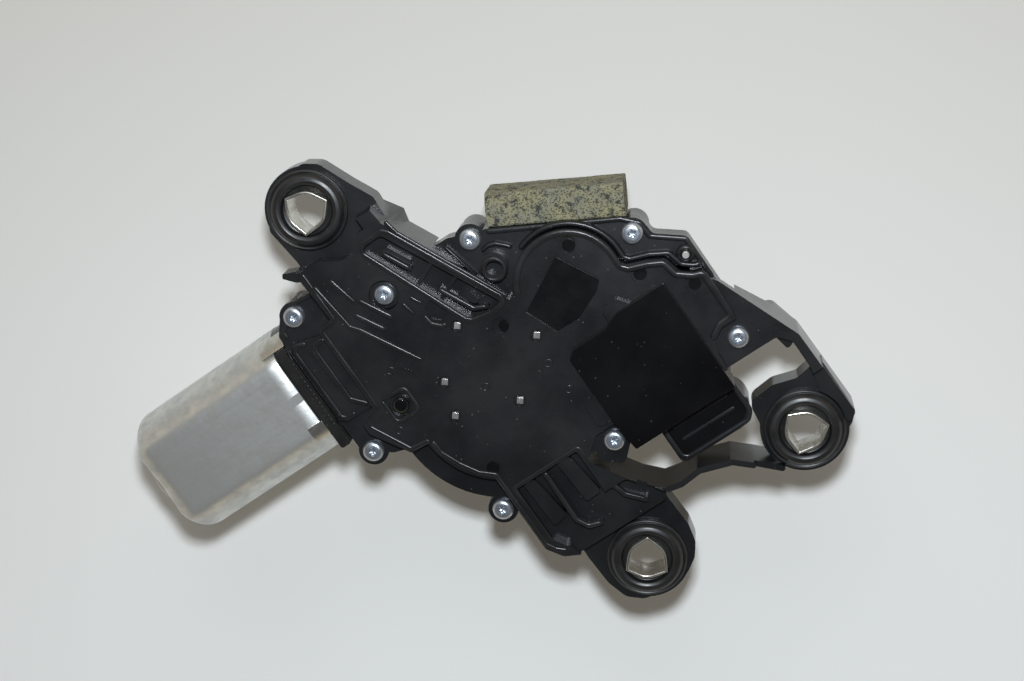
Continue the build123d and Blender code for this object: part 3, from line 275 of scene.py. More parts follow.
def lathe(profile: np.ndarray, centre: Point, steps: int, closed: bool = False) -> Surface:
    """A profile turned round an upright axis.

    Args:
        profile: array of radius and level.
        centre: the axis's place.
        steps: facets round the axis.
        closed: whether the profile is a closed loop, as for a ring.

    Returns:
        Points and quads.
    """
    radius = np.repeat(profile[:, 0:1], steps, axis=1)
    return woven(around(radius, profile[:, 1:2], centre), wrap_rows=closed, wrap_cols=True)


def slab(loop: np.ndarray, low: float, high: float, edge: float) -> Surface:
    """A flat moulded piece with round edges: the outline carried up a quarter-circle profile, then filled.

    The rows are the outline moved inwards by edge (1 - sin a), edge (1 - cos a) away from each face.

    Args:
        loop: closed outline, counter-clockwise.
        low: level of the underside.
        high: level of the top.
        edge: radius of the edges.

    Returns:
        Points and triangles.
    """
    out = outward(loop)
    turn = np.linspace(0, np.pi / 2, 4)
    inset = np.concatenate([edge * (1 - np.sin(turn)), edge * (1 - np.sin(turn[::-1]))])
    level = np.concatenate([low + edge * (1 - np.cos(turn)), high - edge * (1 - np.cos(turn[::-1]))])
    ring = loop[None, :, :] - inset[:, None, None] * out[None, :, :]
    points = np.concatenate([ring, np.broadcast_to(level[:, None, None], ring.shape[:2] + (1,))], -1)
    quads = grid_faces(len(inset), len(loop), False, True)
    cap = np.array(tessellate_polygon([[Vector((x, y, 0)) for x, y in ring[0]]]))
    last = (len(inset) - 1) * len(loop)
    triangles = np.concatenate([quads[:, [0, 1, 2]], quads[:, [0, 2, 3]], cap, cap + last])
    return points.reshape(-1, 3), triangles


def ridge(path: np.ndarray, width: float, low: float, high: float) -> Surface:
    """A rounded rib along a path: across it, level = low + (high - low) times (1 - (2 s / width)^4).

    Args:
        path: open path, two numbers each.
        width: the rib's width.
        low: level that it stands on.
        high: level of its crown.

    Returns:
        Points and quads; the ends close on the path's end points.
    """
    out = outward(path, closed=False)
    run = run_along(path)
    end = np.minimum(run, run[-1] - run) / (width / 2)
    spread = np.sqrt(np.clip(1 - (1 - np.clip(end, 0, 1)) ** 2, 0, 1))
    s = np.linspace(-1, 1, RIDGE_POINTS)
    across = path[:, None, :] + out[:, None, :] * (s[None, :, None] * spread[:, None, None] * width / 2)
    height = low + (high - low) * (1 - np.abs(s[None, :]) ** 4) * spread[:, None] ** 0.5
    top = np.concatenate([across, height[..., None]], -1)
    base = top.copy()
    base[..., 2] = low - RIDGE_SUNK
    return woven(np.concatenate([top, base[:, ::-1]], 1), wrap_cols=True)


def fine_path(corners: tuple[Point, ...], bend: float, width: float) -> np.ndarray:
    """A rounded open path with extra points near its ends, so that a ridge can close there."""
    path = rounded_path(corners, [bend] * len(corners), closed=False)
    run = run_along(path)
    ends = width / 2 * (1 - np.cos(np.linspace(0, np.pi / 2, 6)))
    return points_at(path, np.unique(np.round(np.concatenate([run, ends, run[-1] - ends]), 4)))


def finished_copy(node: str, material: bpy.types.Material, body: str, edges: Edges) -> bpy.types.Object:
    """A copy of a CAD node with its triangles merged and its corners rounded; it stands for the node.

    Args:
        node: the CAD node's name.
        material: the copy's finish.
        body: the CAD body that it rides on.
        edges: how far its corners are rounded.

    Returns:
        The new object.
    """
    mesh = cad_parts[node].data.copy()
    mesh.materials.clear()
    mesh.materials.append(material)
    work = bmesh.new()
    work.from_mesh(mesh)
    bmesh.ops.remove_doubles(work, verts=work.verts, dist=COPY_WELD)
    bmesh.ops.dissolve_limit(work, angle_limit=FLAT_ANGLE, verts=work.verts, edges=work.edges)
    work.to_mesh(mesh)
    work.free()
    mesh.shade_smooth()
    thing = placed(node + "_finished", mesh)
    bevel = thing.modifiers.new("edges", "BEVEL")
    bevel.width = edges.value * MM
    bevel.segments = 2
    bevel.limit_method = "ANGLE"
    bevel.angle_limit = CORNER_ANGLE
    bevel.use_clamp_overlap = True
    weighted = thing.modifiers.new("normals", "WEIGHTED_NORMAL")
    weighted.weight = 100
    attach(thing, body)
    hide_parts(node)
    log.info("%s: finished copy on %s", node, body)
    return thing


# ------------------------------------------------------------------ shader tools

class Nodes:
    """Short way to place and join shader nodes in one tree."""

    def __init__(self, tree: bpy.types.NodeTree) -> None:
        """Keeps the tree."""
        self.tree = tree

    def add(self, kind: str, inputs: Inputs | None = None, **settings: object) -> bpy.types.Node:
        """A new node.

        Args:
            kind: the node's type.
            inputs: what goes into its inputs, by name or number.
            settings: the node's own settings by name.

        Returns:
            The node.
        """
        node = self.tree.nodes.new(kind)
        for key, value in settings.items():
            setattr(node, key, value)
        self.feed(node, inputs or {})
        return node

    def feed(self, node: bpy.types.Node, inputs: Inputs) -> None:
        """Links a node's inputs to sockets, or sets them to numbers or to colours of three numbers."""
        for key, value in inputs.items():
            if isinstance(value, Socket):
                self.tree.links.new(value, node.inputs[key])
            else:
                node.inputs[key].default_value = (*value, 1.0) if isinstance(value, tuple) else value

    def place(self) -> Socket:
        """The place on the object, in metres."""
        return self.add("ShaderNodeTexCoord").outputs["Object"]

    def parts(self, vector: Socket) -> Sockets:
        """A vector's three parts, by letter."""
        return self.add("ShaderNodeSeparateXYZ", {"Vector": vector}).outputs

    def upward(self) -> Socket:
        """How far the surface looks up, from -1 to 1."""
        return self.parts(self.add("ShaderNodeNewGeometry").outputs["Normal"])["Z"]

    def noise(self, vector: Socket, scale: object, detail: float = 3.0, rough: float = 0.55) -> Socket:
        """A noise on a vector; scale is in bumps per metre."""
        inputs = {"Vector": vector, "Scale": scale, "Detail": detail, "Roughness": rough}
        return self.add("ShaderNodeTexNoise", inputs).outputs["Fac"]

    def cells(self, vector: Socket, scale: float) -> Socket:
        """Distance to the nearest of many scattered points, as a share of their spacing."""
        inputs = {"Vector": vector, "Scale": scale}
        return self.add("ShaderNodeTexVoronoi", inputs, feature="F1").outputs["Distance"]

    def range(self, value: Socket, low: float, high: float, to_low: object = 0.0,
              to_high: object = 1.0) -> Socket:
        """A value mapped from one range to another, held at the ends."""
        inputs = {"Value": value, "From Min": low, "From Max": high, "To Min": to_low, "To Max": to_high}
        return self.add("ShaderNodeMapRange", inputs).outputs["Result"]

    def mix(self, factor: Socket, first: object, second: object) -> Socket:
        """A colour mixed from two, each a socket or a colour."""
        inputs = {"Factor": factor, 6: first, 7: second}
        return self.add("ShaderNodeMix", inputs, data_type="RGBA").outputs[2]

    def maths(self, how: str, first: object, second: object) -> Socket:
        """One step of arithmetic on two numbers or values."""
        return self.add("ShaderNodeMath", {0: first, 1: second}, operation=how).outputs[0]

    def times(self, first: Socket, *others: object) -> Socket:
        """A value multiplied by the others in turn."""
        for other in others:
            first = self.maths("MULTIPLY", first, other)
        return first

    def group(self, tree: bpy.types.NodeTree, inputs: dict[str, object]) -> Sockets:
        """A shared group with its inputs; gives its outputs by name."""
        return self.add("ShaderNodeGroup", inputs, node_tree=tree).outputs


def new_material(name: str) -> tuple[bpy.types.Material, bpy.types.Node, Nodes]:
    """A new material, its principled shader and its node tools."""
    made = bpy.data.materials.new(name)
    made.use_nodes = True
    return made, made.node_tree.nodes["Principled BSDF"], Nodes(made.node_tree)


def group_tree(name: str, inputs: dict[str, object], outputs: dict[str, str]) -> tuple[
        Nodes, Sockets, bpy.types.Node]:
    """An empty shader group with named sockets.

    Args:
        name: the group's name.
        inputs: each input's default: a number, a colour, or None for a vector.
        outputs: socket name to kind.

    Returns:
        The group's node tools, the sockets of its inputs and its output node.
    """
    tree = bpy.data.node_groups.new(name, "ShaderNodeTree")
    for socket, value in inputs.items():
        kind = {float: "Float", tuple: "Color"}.get(type(value), "Vector")
        made = tree.interface.new_socket(socket, in_out="INPUT", socket_type="NodeSocket" + kind)
        if value is not None:
            made.default_value = (*value, 1.0) if kind == "Color" else value
    for socket, kind in outputs.items():
        tree.interface.new_socket(socket, in_out="OUTPUT", socket_type="NodeSocket" + kind)
    return Nodes(tree), tree.nodes.new("NodeGroupInput").outputs, tree.nodes.new("NodeGroupOutput")


class Effects:
    """The shader groups that several finishes share, each built once."""

    SOFT = (0.35, 0.65)  # a noise's values that become none and all
    DUST_FACING = (0.3, 0.95)
    DUST_CLOUD = (0.35, 0.75)
    DUST_SCALE = 45.0
    SPECK_SIZE = (0.05, 0.14)
    SPECK_SCALE = 420.0
    SPECK_CHANCE = (0.56, 0.6)
    CHANCE_SCALE = 210.0

    def __init__(self) -> None:
        """Builds every group."""
        self.grain = self._grain()
        self.mottle = self._mottle()
        self.dust = self._dust()
        self.streaks = self._streaks()

    @staticmethod
    def _grain() -> bpy.types.NodeTree:
        """Fine moulded or cast grain as a normal, a tenth of a millimetre deep."""
        n, source, sink = group_tree(
            "surface_grain", {"Vector": None, "Scale": 1500.0, "Strength": 0.2}, {"Normal": "Vector"})
        height = n.noise(source["Vector"], source["Scale"], 2.0, 0.5)
        inputs = {"Strength": source["Strength"], "Distance": 0.1 * MM, "Height": height}
        n.feed(sink, {"Normal": n.add("ShaderNodeBump", inputs).outputs["Normal"]})
        return n.tree

    def _mottle(self) -> bpy.types.NodeTree:
        """Two colours in soft clouds, with a roughness that follows them."""
        n, source, sink = group_tree(
            "mottle",
            {"Vector": None, "Scale": 60.0, "First": (0.02, 0.02, 0.02), "Second": (0.03, 0.03, 0.03),
             "Smoothest": 0.35, "Roughest": 0.5},
            {"Color": "Color", "Roughness": "Float"})
        mask = n.range(n.noise(source["Vector"], source["Scale"], 4.0, 0.6), *self.SOFT)
        n.feed(sink, {"Color": n.mix(mask, source["First"], source["Second"]),
                      "Roughness": n.range(mask, 0.0, 1.0, source["Smoothest"], source["Roughest"])})
        return n.tree

    def _dust(self) -> bpy.types.NodeTree:
        """Dust on faces that look up, thicker in clouds and with specks; it only lightens the colour."""
        n, source, sink = group_tree(
            "dust",
            {"Vector": None, "Color": (0.02, 0.02, 0.02), "Dust": (0.3, 0.27, 0.22), "Amount": 0.08,
             "Specks": 0.5},
            {"Color": "Color", "Mask": "Float"})
        facing = n.range(n.upward(), *self.DUST_FACING)
        cloud = n.range(n.noise(source["Vector"], self.DUST_SCALE, 5.0, 0.65), *self.DUST_CLOUD)
        speck = n.range(n.cells(source["Vector"], self.SPECK_SCALE), *self.SPECK_SIZE, 1.0, 0.0)
        chance = n.range(n.noise(source["Vector"], self.CHANCE_SCALE, 1.0), *self.SPECK_CHANCE)
        film = n.times(facing, cloud, source["Amount"])
        dots = n.times(speck, chance, n.times(facing, source["Specks"]))
        mask = n.maths("MAXIMUM", film, dots)
        n.feed(sink, {"Color": n.mix(mask, source["Color"], source["Dust"]), "Mask": mask})
        return n.tree

    def _streaks(self) -> bpy.types.NodeTree:
        """Long thin streaks along the object's X axis, as a mask."""
        n, source, sink = group_tree(
            "streaks", {"Vector": None, "Along": 12.0, "Across": 900.0}, {"Mask": "Float"})
        parts = n.parts(source["Vector"])
        stretched = n.add("ShaderNodeCombineXYZ", {
            axis: n.times(parts[axis], source["Along" if axis == "X" else "Across"]) for axis in "XYZ"})
        n.feed(sink, {"Mask": n.range(n.noise(stretched.outputs["Vector"], 1.0, 3.0, 0.6), *self.SOFT)})
        return n.tree


@dataclass(frozen=True)
class Finish:
    """One finish: two shades in clouds, a grain, a gloss and what lies on it."""

    name: str
    first: Triple
    second: Triple
    metallic: float = 0.0
    rough: Point = (0.35, 0.5)
    clouds: float = 60.0
    grain: float = 1500.0
    relief: float = 0.15
    streaks: float = 0.0
    dust: float = 0.0
    specks: float = 0.0
    specular: float = 0.5
    wall_gloss: float = 1.0

    STREAK_SHADE = 0.62
    STREAK_ROUGHNESS = 0.25
    DUST_ROUGHNESS = 0.4
    TILTED_RELIEF = 0.15
    WALL_TILT = (0.45, 0.85)  # upward part of the normal where the walls' gloss ends
    GRAIN_TILT = (0.93, 0.995)  # and where the full grain begins

    def build(self, effects: Effects) -> bpy.types.Material:
        """The material.

        Args:
            effects: the shared shader groups.

        Returns:
            A new material whose patterns read the place on the object.
        """
        material, shader, n = new_material(self.name)
        place = n.place()
        mottle = n.group(effects.mottle, {
            "Vector": place, "First": self.first, "Second": self.second, "Scale": self.clouds,
            "Smoothest": self.rough[0], "Roughest": self.rough[1]})
        colour, rough, relief = mottle["Color"], mottle["Roughness"], self.relief
        if self.streaks:
            mask = n.times(n.group(effects.streaks, {"Vector": place})["Mask"], self.streaks)
            colour = n.mix(mask, colour, tuple(self.STREAK_SHADE * c for c in self.first))
            rough = n.maths("ADD", rough, n.times(mask, self.STREAK_ROUGHNESS))
        if self.dust or self.specks:
            dust = n.group(effects.dust, {
                "Vector": place, "Color": colour, "Amount": self.dust, "Specks": self.specks})
            colour = dust["Color"]
            rough = n.maths("ADD", rough, n.times(dust["Mask"], self.DUST_ROUGHNESS))
        if self.wall_gloss != 1.0:
            level = n.maths("ABSOLUTE", n.upward(), 0.0)
            rough = n.times(rough, n.range(level, *self.WALL_TILT, self.wall_gloss, 1.0))
            relief = n.range(level, *self.GRAIN_TILT, self.TILTED_RELIEF * relief, relief)
        grain = n.group(effects.grain, {"Vector": place, "Scale": self.grain, "Strength": relief})
        n.feed(shader, {"Base Color": colour, "Roughness": rough, "Normal": grain["Normal"],
                        "Metallic": self.metallic, "Specular IOR Level": self.specular})
        return material


@dataclass
class Palette:
    """Every finish of the motor, by name."""

    effects: Effects
    made: dict[str, bpy.types.Material] = field(default_factory=dict)

    FINISHES = (
        Finish("grained_plastic", (0.0068, 0.0074, 0.0086), (0.0115, 0.0122, 0.0136), rough=(0.25, 0.34),
               clouds=38, grain=2300, relief=0.4, dust=0.012, specks=0.3, wall_gloss=0.75),
        Finish("lid_plastic", (0.0022, 0.0022, 0.0026), (0.0036, 0.0036, 0.0042), rough=(0.2, 0.28),
               clouds=30, grain=2600, dust=0.003, specks=0.2, specular=0.35),
        Finish("polished_edge", (0.009, 0.0095, 0.0106), (0.0135, 0.014, 0.0155), rough=(0.24, 0.34),
               grain=2300, relief=0.12, specks=0.2),
        Finish("gloss_black", (0.003, 0.003, 0.0034), (0.0045, 0.0045, 0.005), rough=(0.06, 0.12)),
        Finish("matt_mark", (0.0028, 0.0028, 0.0032), (0.0045, 0.0045, 0.005), rough=(0.3, 0.4), clouds=90,
               grain=2600, relief=0.3, dust=0.003, specks=0.15, specular=0.15),
        Finish("smooth_plastic", (0.008, 0.0076, 0.0074), (0.013, 0.0124, 0.012), rough=(0.26, 0.38),
               clouds=45, grain=900, relief=0.12, dust=0.02, specks=0.25),
        Finish("housing_plastic", (0.0075, 0.0072, 0.0071), (0.0125, 0.012, 0.0117), rough=(0.3, 0.44),
               clouds=55, grain=1200, relief=0.2, dust=0.02, specks=0.2, wall_gloss=0.75),
        Finish("rubber", (0.0085, 0.0086, 0.0092), (0.0135, 0.0137, 0.0144), rough=(0.3, 0.42), clouds=130,
               grain=2600, dust=0.015, specks=0.3),
        Finish("galvanised_steel", (0.67, 0.67, 0.64), (0.5, 0.515, 0.51), metallic=0.8, rough=(0.36, 0.47),
               clouds=190, grain=620, relief=0.4, streaks=0.12, dust=0.02, specks=0.1),
        Finish("zinc_steel", (0.66, 0.65, 0.6), (0.5, 0.49, 0.44), metallic=0.95, rough=(0.2, 0.36),
               clouds=260, grain=1800, relief=0.12),
        Finish("zinc_screw", (0.55, 0.6, 0.66), (0.4, 0.44, 0.5), metallic=0.9, rough=(0.24, 0.4),
               clouds=400, grain=2200),
        Finish("tin_steel", (0.7, 0.7, 0.66), (0.5, 0.49, 0.46), metallic=0.9, rough=(0.25, 0.4),
               clouds=500, grain=2000, relief=0.1),
        Finish("bright_steel", (0.56, 0.56, 0.56), (0.42, 0.42, 0.42), metallic=1, rough=(0.18, 0.34),
               clouds=200, grain=1600, relief=0.1),
        Finish("carbon", (0.025, 0.024, 0.024), (0.04, 0.039, 0.038), rough=(0.45, 0.6), clouds=500),
        Finish("ferrite", (0.05, 0.048, 0.047), (0.08, 0.076, 0.074), rough=(0.6, 0.8), clouds=300,
               grain=1800, relief=0.4),
        Finish("bronze", (0.4, 0.25, 0.11), (0.28, 0.17, 0.08), metallic=0.9, rough=(0.3, 0.5), clouds=300),
        Finish("copper", (0.55, 0.21, 0.09), (0.38, 0.14, 0.06), metallic=0.9, rough=(0.25, 0.4),
               clouds=300),
        Finish("gear_plastic", (0.72, 0.69, 0.6), (0.62, 0.59, 0.5), rough=(0.35, 0.5), clouds=120),
        Finish("board", (0.02, 0.09, 0.04), (0.03, 0.12, 0.05), rough=(0.3, 0.45), clouds=200),
    )

    def build(self) -> None:
        """Builds every finish."""
        for finish in self.FINISHES:
            self.made[finish.name] = finish.build(self.effects)

    def __getitem__(self, name: str) -> bpy.types.Material:
        """A finish by name."""
        return self.made[name]


# ------------------------------------------------------------------ pieces

@dataclass
class FinishedCopies:
    """Nodes whose form the CAD already has, as copies on the root body with broken corners."""

    palette: Palette
    rows: tuple[tuple[str, str, Edges, str], ...]

    HOUSINGS = (
        ("mounting_cover", "grained_plastic", Edges.MOULDED, "cover_plastic"),
        ("gear_housing", "housing_plastic", Edges.MOULDED, "housing_plastic"),
        ("brush_holder", "housing_plastic", Edges.PRESSED, "housing_plastic"),
    )
    SMALL_PARTS = (
        ("contact_pins", "tin_steel", Edges.FINE, "tin_steel"),
        ("locating_pin", "tin_steel", Edges.FINE, "tin_steel"),
        ("can_clips", "zinc_steel", Edges.FINE, "zinc_steel"),
    )

    def build(self) -> None:
        """One copy for each row of node, finish, corners and slot."""
        for node, finish, edges, slot in self.rows:
            finished_copy(node, self.palette[finish], "root", edges)


@dataclass(frozen=True)
class Bead:
    """A rounded bead along a path: its corner points, width, foot, crown and corner radius."""

    corners: tuple[Point, ...]
    width: float
    low: float
    high: float
    bend: float = 1.2


@dataclass(frozen=True)
class Pad:
    """A flat raised pad: its outline counter-clockwise, foot, top, corner radius and edge radius."""

    corners: tuple[Point, ...]
    low: float
    high: float
    bend: float
    edge: float = 0.12


@dataclass(frozen=True)
class Turned:
    """A small turned form on an upright axis: its centre and its profile of (radius, level)."""

    centre: Point
    profile: tuple[Point, ...]


def arc(radius: float, start: float, end: float, steps: int) -> tuple[Point, ...]:
    """Points on a circle about the spindle's axis, between two angles in degrees."""
    angles = np.radians(np.linspace(start, end, steps + 1))
    return tuple((float(radius * math.cos(a)), float(radius * math.sin(a))) for a in angles)


@dataclass
class CoverRelief:
    """The cover's moulded lines: bright rounded edges, ribs, rims, the lid's panel and the matt places."""

    palette: Palette
    strip_x: Point = (-104.2, -101.8)
    strip_y: Point = (4.4, 32.0)
    strip_pitch: float = 1.9
    strip_foot: float = 3.0
    strip_lean: Point = (0.06, 0.024)  # of a rib's two ends, for each millimetre from the foot
    strip_rib: Triple = (0.95, 16.6, 17.0)  # width, foot and crown
    field_corner: Point = (-70.6, 10.4)
    field_run: Point = (4.0, -8.4)
    field_rib: Point = (1.9, 0.5)
    field_ribs: int = 8
    disc_r: float = 2.35
    disc: Triple = (17.0, 17.4, 0.1)  # foot, top and edge
    ring_r: float = 1.3
    ring_thickness: float = 0.3

    EDGES = (
        Bead(arc(18.7, 159, 1, 22) + ((18.7, -5), (20.7, -7.3), (27.3, -9.8), (32.2, -12.4), (33.5, -18.2),
             (38.4, -22), (41.7, -23.2), (41.7, -41.4), (36.4, -41.9), (31.2, -45)), 2.5, PLATE_TOP, 18.7,
             1.8),
        Bead(arc(21.3, 112, 4, 18) + ((21.2, -3.3), (22.8, -5.1), (29.4, -7.5), (35.3, -10.9),
             (36.8, -16.7), (40.3, -19.5), (42.9, -20.5)), 2.4, FLANGE_TOP, 15.4, 1.8),
        Bead(((-55.6, 50.6), (-53.8, 53.3), (-45, 53.3), (-43.1, 51.4), (-22.8, 9.9), (-23.7, 7.3),
             (-29, 6.7), (-36.5, 8.3), (-38.4, 10.1), (-55.6, 50.6)), 2, PLATE_TOP, 18.55),
        Bead(((-41.9, 55.4), (-40.7, 49.4), (-21, 8.4)), 1.9, PLATE_TOP, 18.5),
        Bead(((-78.4, 56.5), (-78.4, 36.1), (-84.8, 35.3), (-84.8, 0.8), (-90.8, -1), (-91.3, -4),
             (-83.4, -19), (-75.8, -20)), 2, PLATE_TOP, 18.5),
        Bead(((-75.2, -20.8), (-75, -26), (-71.7, -33.5), (-67.6, -40.2), (-62.9, -44.2), (-62.9, -76.4),
             (-60.8, -80), (-57.6, -82.8)), 1.8, PLATE_TOP, 18.5),
        Bead(((-60.5, -77), (-60.5, -52.1), (-31.6, -52.1), (-31.6, -56)), 1.6, PLATE_TOP, 18.4),
        Bead(((-86.2, 32.3), (-90.3, 32.6), (-91.6, 30.4), (-91.6, 8.7), (-87, 3.6)), 2, TERRACE_TOP, 17,
             1.8),
        Bead(((-93.4, 34.5), (-97.4, 36), (-98.8, 34.2), (-98.8, 4.8), (-97.4, 3.3), (-93.5, 3.3)), 2, 15,
             15.6, 1.8),
        Bead(((-14.8, 31.5), (27.6, 8.6), (32.6, 3.4), (33, -2.5), (43.1, -10.4), (43.2, -27.2)), 2,
             FLANGE_TOP, 13.6),
        Bead(((-81.1, 48.2), (-90.4, 49.2), (-98.6, 42.4), (-98.6, 39.6)), 1.8, FLANGE_TOP, 13.5),
    )
    RIBS = (
        Bead(((-29.7, 35.6), (-26.4, 20.4)), 1.6, FLANGE_TOP, 15.8),
        Bead(((-19.9, 26.6), (-16.9, 27.2), (-14.2, 26.4), (-11.3, 23.6), (-9.9, 21.8)), 1.9, FLANGE_TOP,
             15),
        Bead(((-54, 27.6), (-52.7, 21.7)), 1.5, PLATE_TOP, 18.7),
        Bead(((-50.4, 28), (-48.1, 23.6)), 1.5, PLATE_TOP, 18.7),
        Bead(((-50.1, 19.4), (-49.5, 15.4), (-46.8, 12.7), (-45, 12.4)), 1.8, PLATE_TOP, 18.7),
        Bead(((-71, 49.2), (-68.2, 37)), 2.3, PLATE_TOP, 19),
        Bead(((-71, 33.8), (-64.8, 23)), 2.3, PLATE_TOP, 19),
        Bead(((-66.7, 37.3), (-60, 25.2)), 2.3, PLATE_TOP, 19),
        Bead(((-77.3, 50.4), (-75.1, 31), (-72.6, 28), (-60.1, 6)), 2.1, PLATE_TOP, 18.95),
        Bead(((-49.7, 46.4), (-44.4, 36)), 2.5, TERRACE_TOP, 17.8),
        Bead(((-40.2, 24.4), (-33.7, 11.4), (-29.2, 9.4)), 2.4, TERRACE_TOP, 17.8),
        Bead(((-47.7, -53.2), (-48.2, -74.8), (-45.7, -79.4), (-41, -80.8)), 2.4, TERRACE_TOP, 17.8, 3),
        Bead(((-32.4, -53.2), (-32.2, -61), (-27.6, -76.3), (-22.2, -82.3)), 2.2, TERRACE_TOP, 17.7, 3),
        Bead(((-81.7, 1.8), (-71.7, 1.8), (-71.7, -8.2), (-81.7, -8.2), (-81.7, 1.8)), 1.7, PLATE_TOP, 18.7,
             2.4),
        Bead(((27, -64.6), (27, -76.2), (24.4, -78.8), (-1.3, -78.8), (-3.3, -77), (-3.3, -65)), 2, 11,
             11.7, 3),
        Bead(((0, -66.5), (23.4, -66.5)), 1.6, 11.2, 11.7),
        Bead(((0.5, -72), (23, -72)), 1.6, 11.2, 11.7),
    )
    LID = (
        Pad(((-14.7, -50.1), (-13.7, -63.4), (28.9, -63.4), (28.9, -17.4), (8.9, -17.4), (2.4, -20),
            (-11.6, -20), (-14.7, -22.4)), 20.4, 21.9, 0.6, 0.4),
        Pad(((-2.4, -77.6), (23.6, -77.6), (26, -75.4), (26, -64.8), (-2.4, -64.8)), 10.9, 11.3, 2, 0.2),
    )
    MATT = (
        Pad(((-18, 0.2), (-12.9, -12.1), (-4.3, -12.5), (6.8, -7.8), (10, -4.7), (1.7, 10.7)), 17.5, 17.72,
            0.6),
    )
    DISCS = ((7.9, 11.5), (23.2, -11.1), (37.3, -24.9), (-27.8, 0), (-62.3, -41.5))
    RINGS = ((-72.4, 9.4), (-82.8, -10.9), (-46.7, -14.8), (-21.9, -32.1), (-22.6, -20))
    BOSS = Turned((-19.5, 19), ((3, 16.3), (3.1, 16.9), (3.6, 17.35), (4.2, 17.35), (4.7, 16.9),
                  (4.9, 16.3)))
    SEAT = Turned((40.2, -14.6), ((1.6, 12.8), (1.7, 14.2), (2.3, 14.8), (3, 14.4), (3.5, 12.8)))
    KNOB = Turned((-76.7, -3.2), ((3.15, 17.4), (3.1, 18.1), (2.8, 18.6), (2.2, 19), (1.2, 19.25),
                  (0, 19.3)))

    @staticmethod
    def bead(bead: Bead) -> Surface:
        """Points and quads of one bead."""
        path = fine_path(bead.corners, bead.bend, bead.width)
        return ridge(path, bead.width, bead.low, bead.high)

    @staticmethod
    def turned(form: Turned) -> Surface:
        """Points and quads of a turned form, its profile blended through its points."""
        profile = rounded_path(form.profile, [0.2] * len(form.profile), False, 3)
        return lathe(profile, form.centre, 48)

    @staticmethod
    def slabs(pads: tuple[Pad, ...]) -> list[Surface]:
        """Each pad as a slab."""
        return [slab(rounded_path(pad.corners, [pad.bend] * len(pad.corners), True, 4),
                     pad.low, pad.high, pad.edge) for pad in pads]

    def ring(self, centre: Point) -> Surface:
        """A half-sunk ring of round section: radius + thickness cos t, level + thickness sin t."""
        turn, thick = full_turn(12), self.ring_thickness
        profile = np.stack([self.ring_r + thick * np.cos(turn), PLATE_TOP + thick * np.sin(turn)], -1)
        return lathe(profile, centre, 32, closed=True)

    def stripes(self) -> list[Surface]:
        """Cross ribs on the brush holder's leaning strip and on the small field beside the long rib."""
        made = []
        for y in np.arange(*self.strip_y, self.strip_pitch):
            ends = tuple((x + (y - self.strip_foot) * lean, y)
                         for x, lean in zip(self.strip_x, self.strip_lean))
            made.append(self.bead(Bead(ends, *self.strip_rib)))
        for share in np.linspace(0.06, 0.94, self.field_ribs):
            start = np.add(self.field_corner, np.multiply(share, self.field_run))
            ends = (tuple(start), tuple(start + self.field_rib))
            made.append(self.bead(Bead(ends, 0.55, PLATE_TOP, 18.22)))
        return made

    def build(self) -> None:
        """One piece for each finish."""
        lines = [self.bead(line) for line in self.EDGES + self.RIBS] + self.stripes()
        rings = [self.ring(centre) for centre in self.RINGS]
        rims = [self.turned(self.BOSS), self.turned(self.SEAT)]
        self.place("cover_edges", lines + rings + rims, "polished_edge")
        self.place("cover_knob", [self.turned(self.KNOB)], "gloss_black")
        self.place("box_lid", self.slabs(self.LID), "lid_plastic", 12)
        turn = full_turn(36)
        circle = np.stack([self.disc_r * np.cos(turn), self.disc_r * np.sin(turn)], -1)
        discs = [slab(circle + centre, *self.disc) for centre in self.DISCS]
        self.place("matt_places", self.slabs(self.MATT) + discs, "matt_mark", 12)

    def place(self, name: str, parts: list[Surface], finish: str, crease: float = 40.0) -> None:
        """Joins parts into one piece that rides on the root body.

        Args:
            name: the piece's name.
            parts: its surfaces.
            finish: name of its finish.
            crease: edges sharper than this many degrees stay sharp.
        """
        piece = make_piece(name, joined(parts), self.palette[finish], "root", crease)


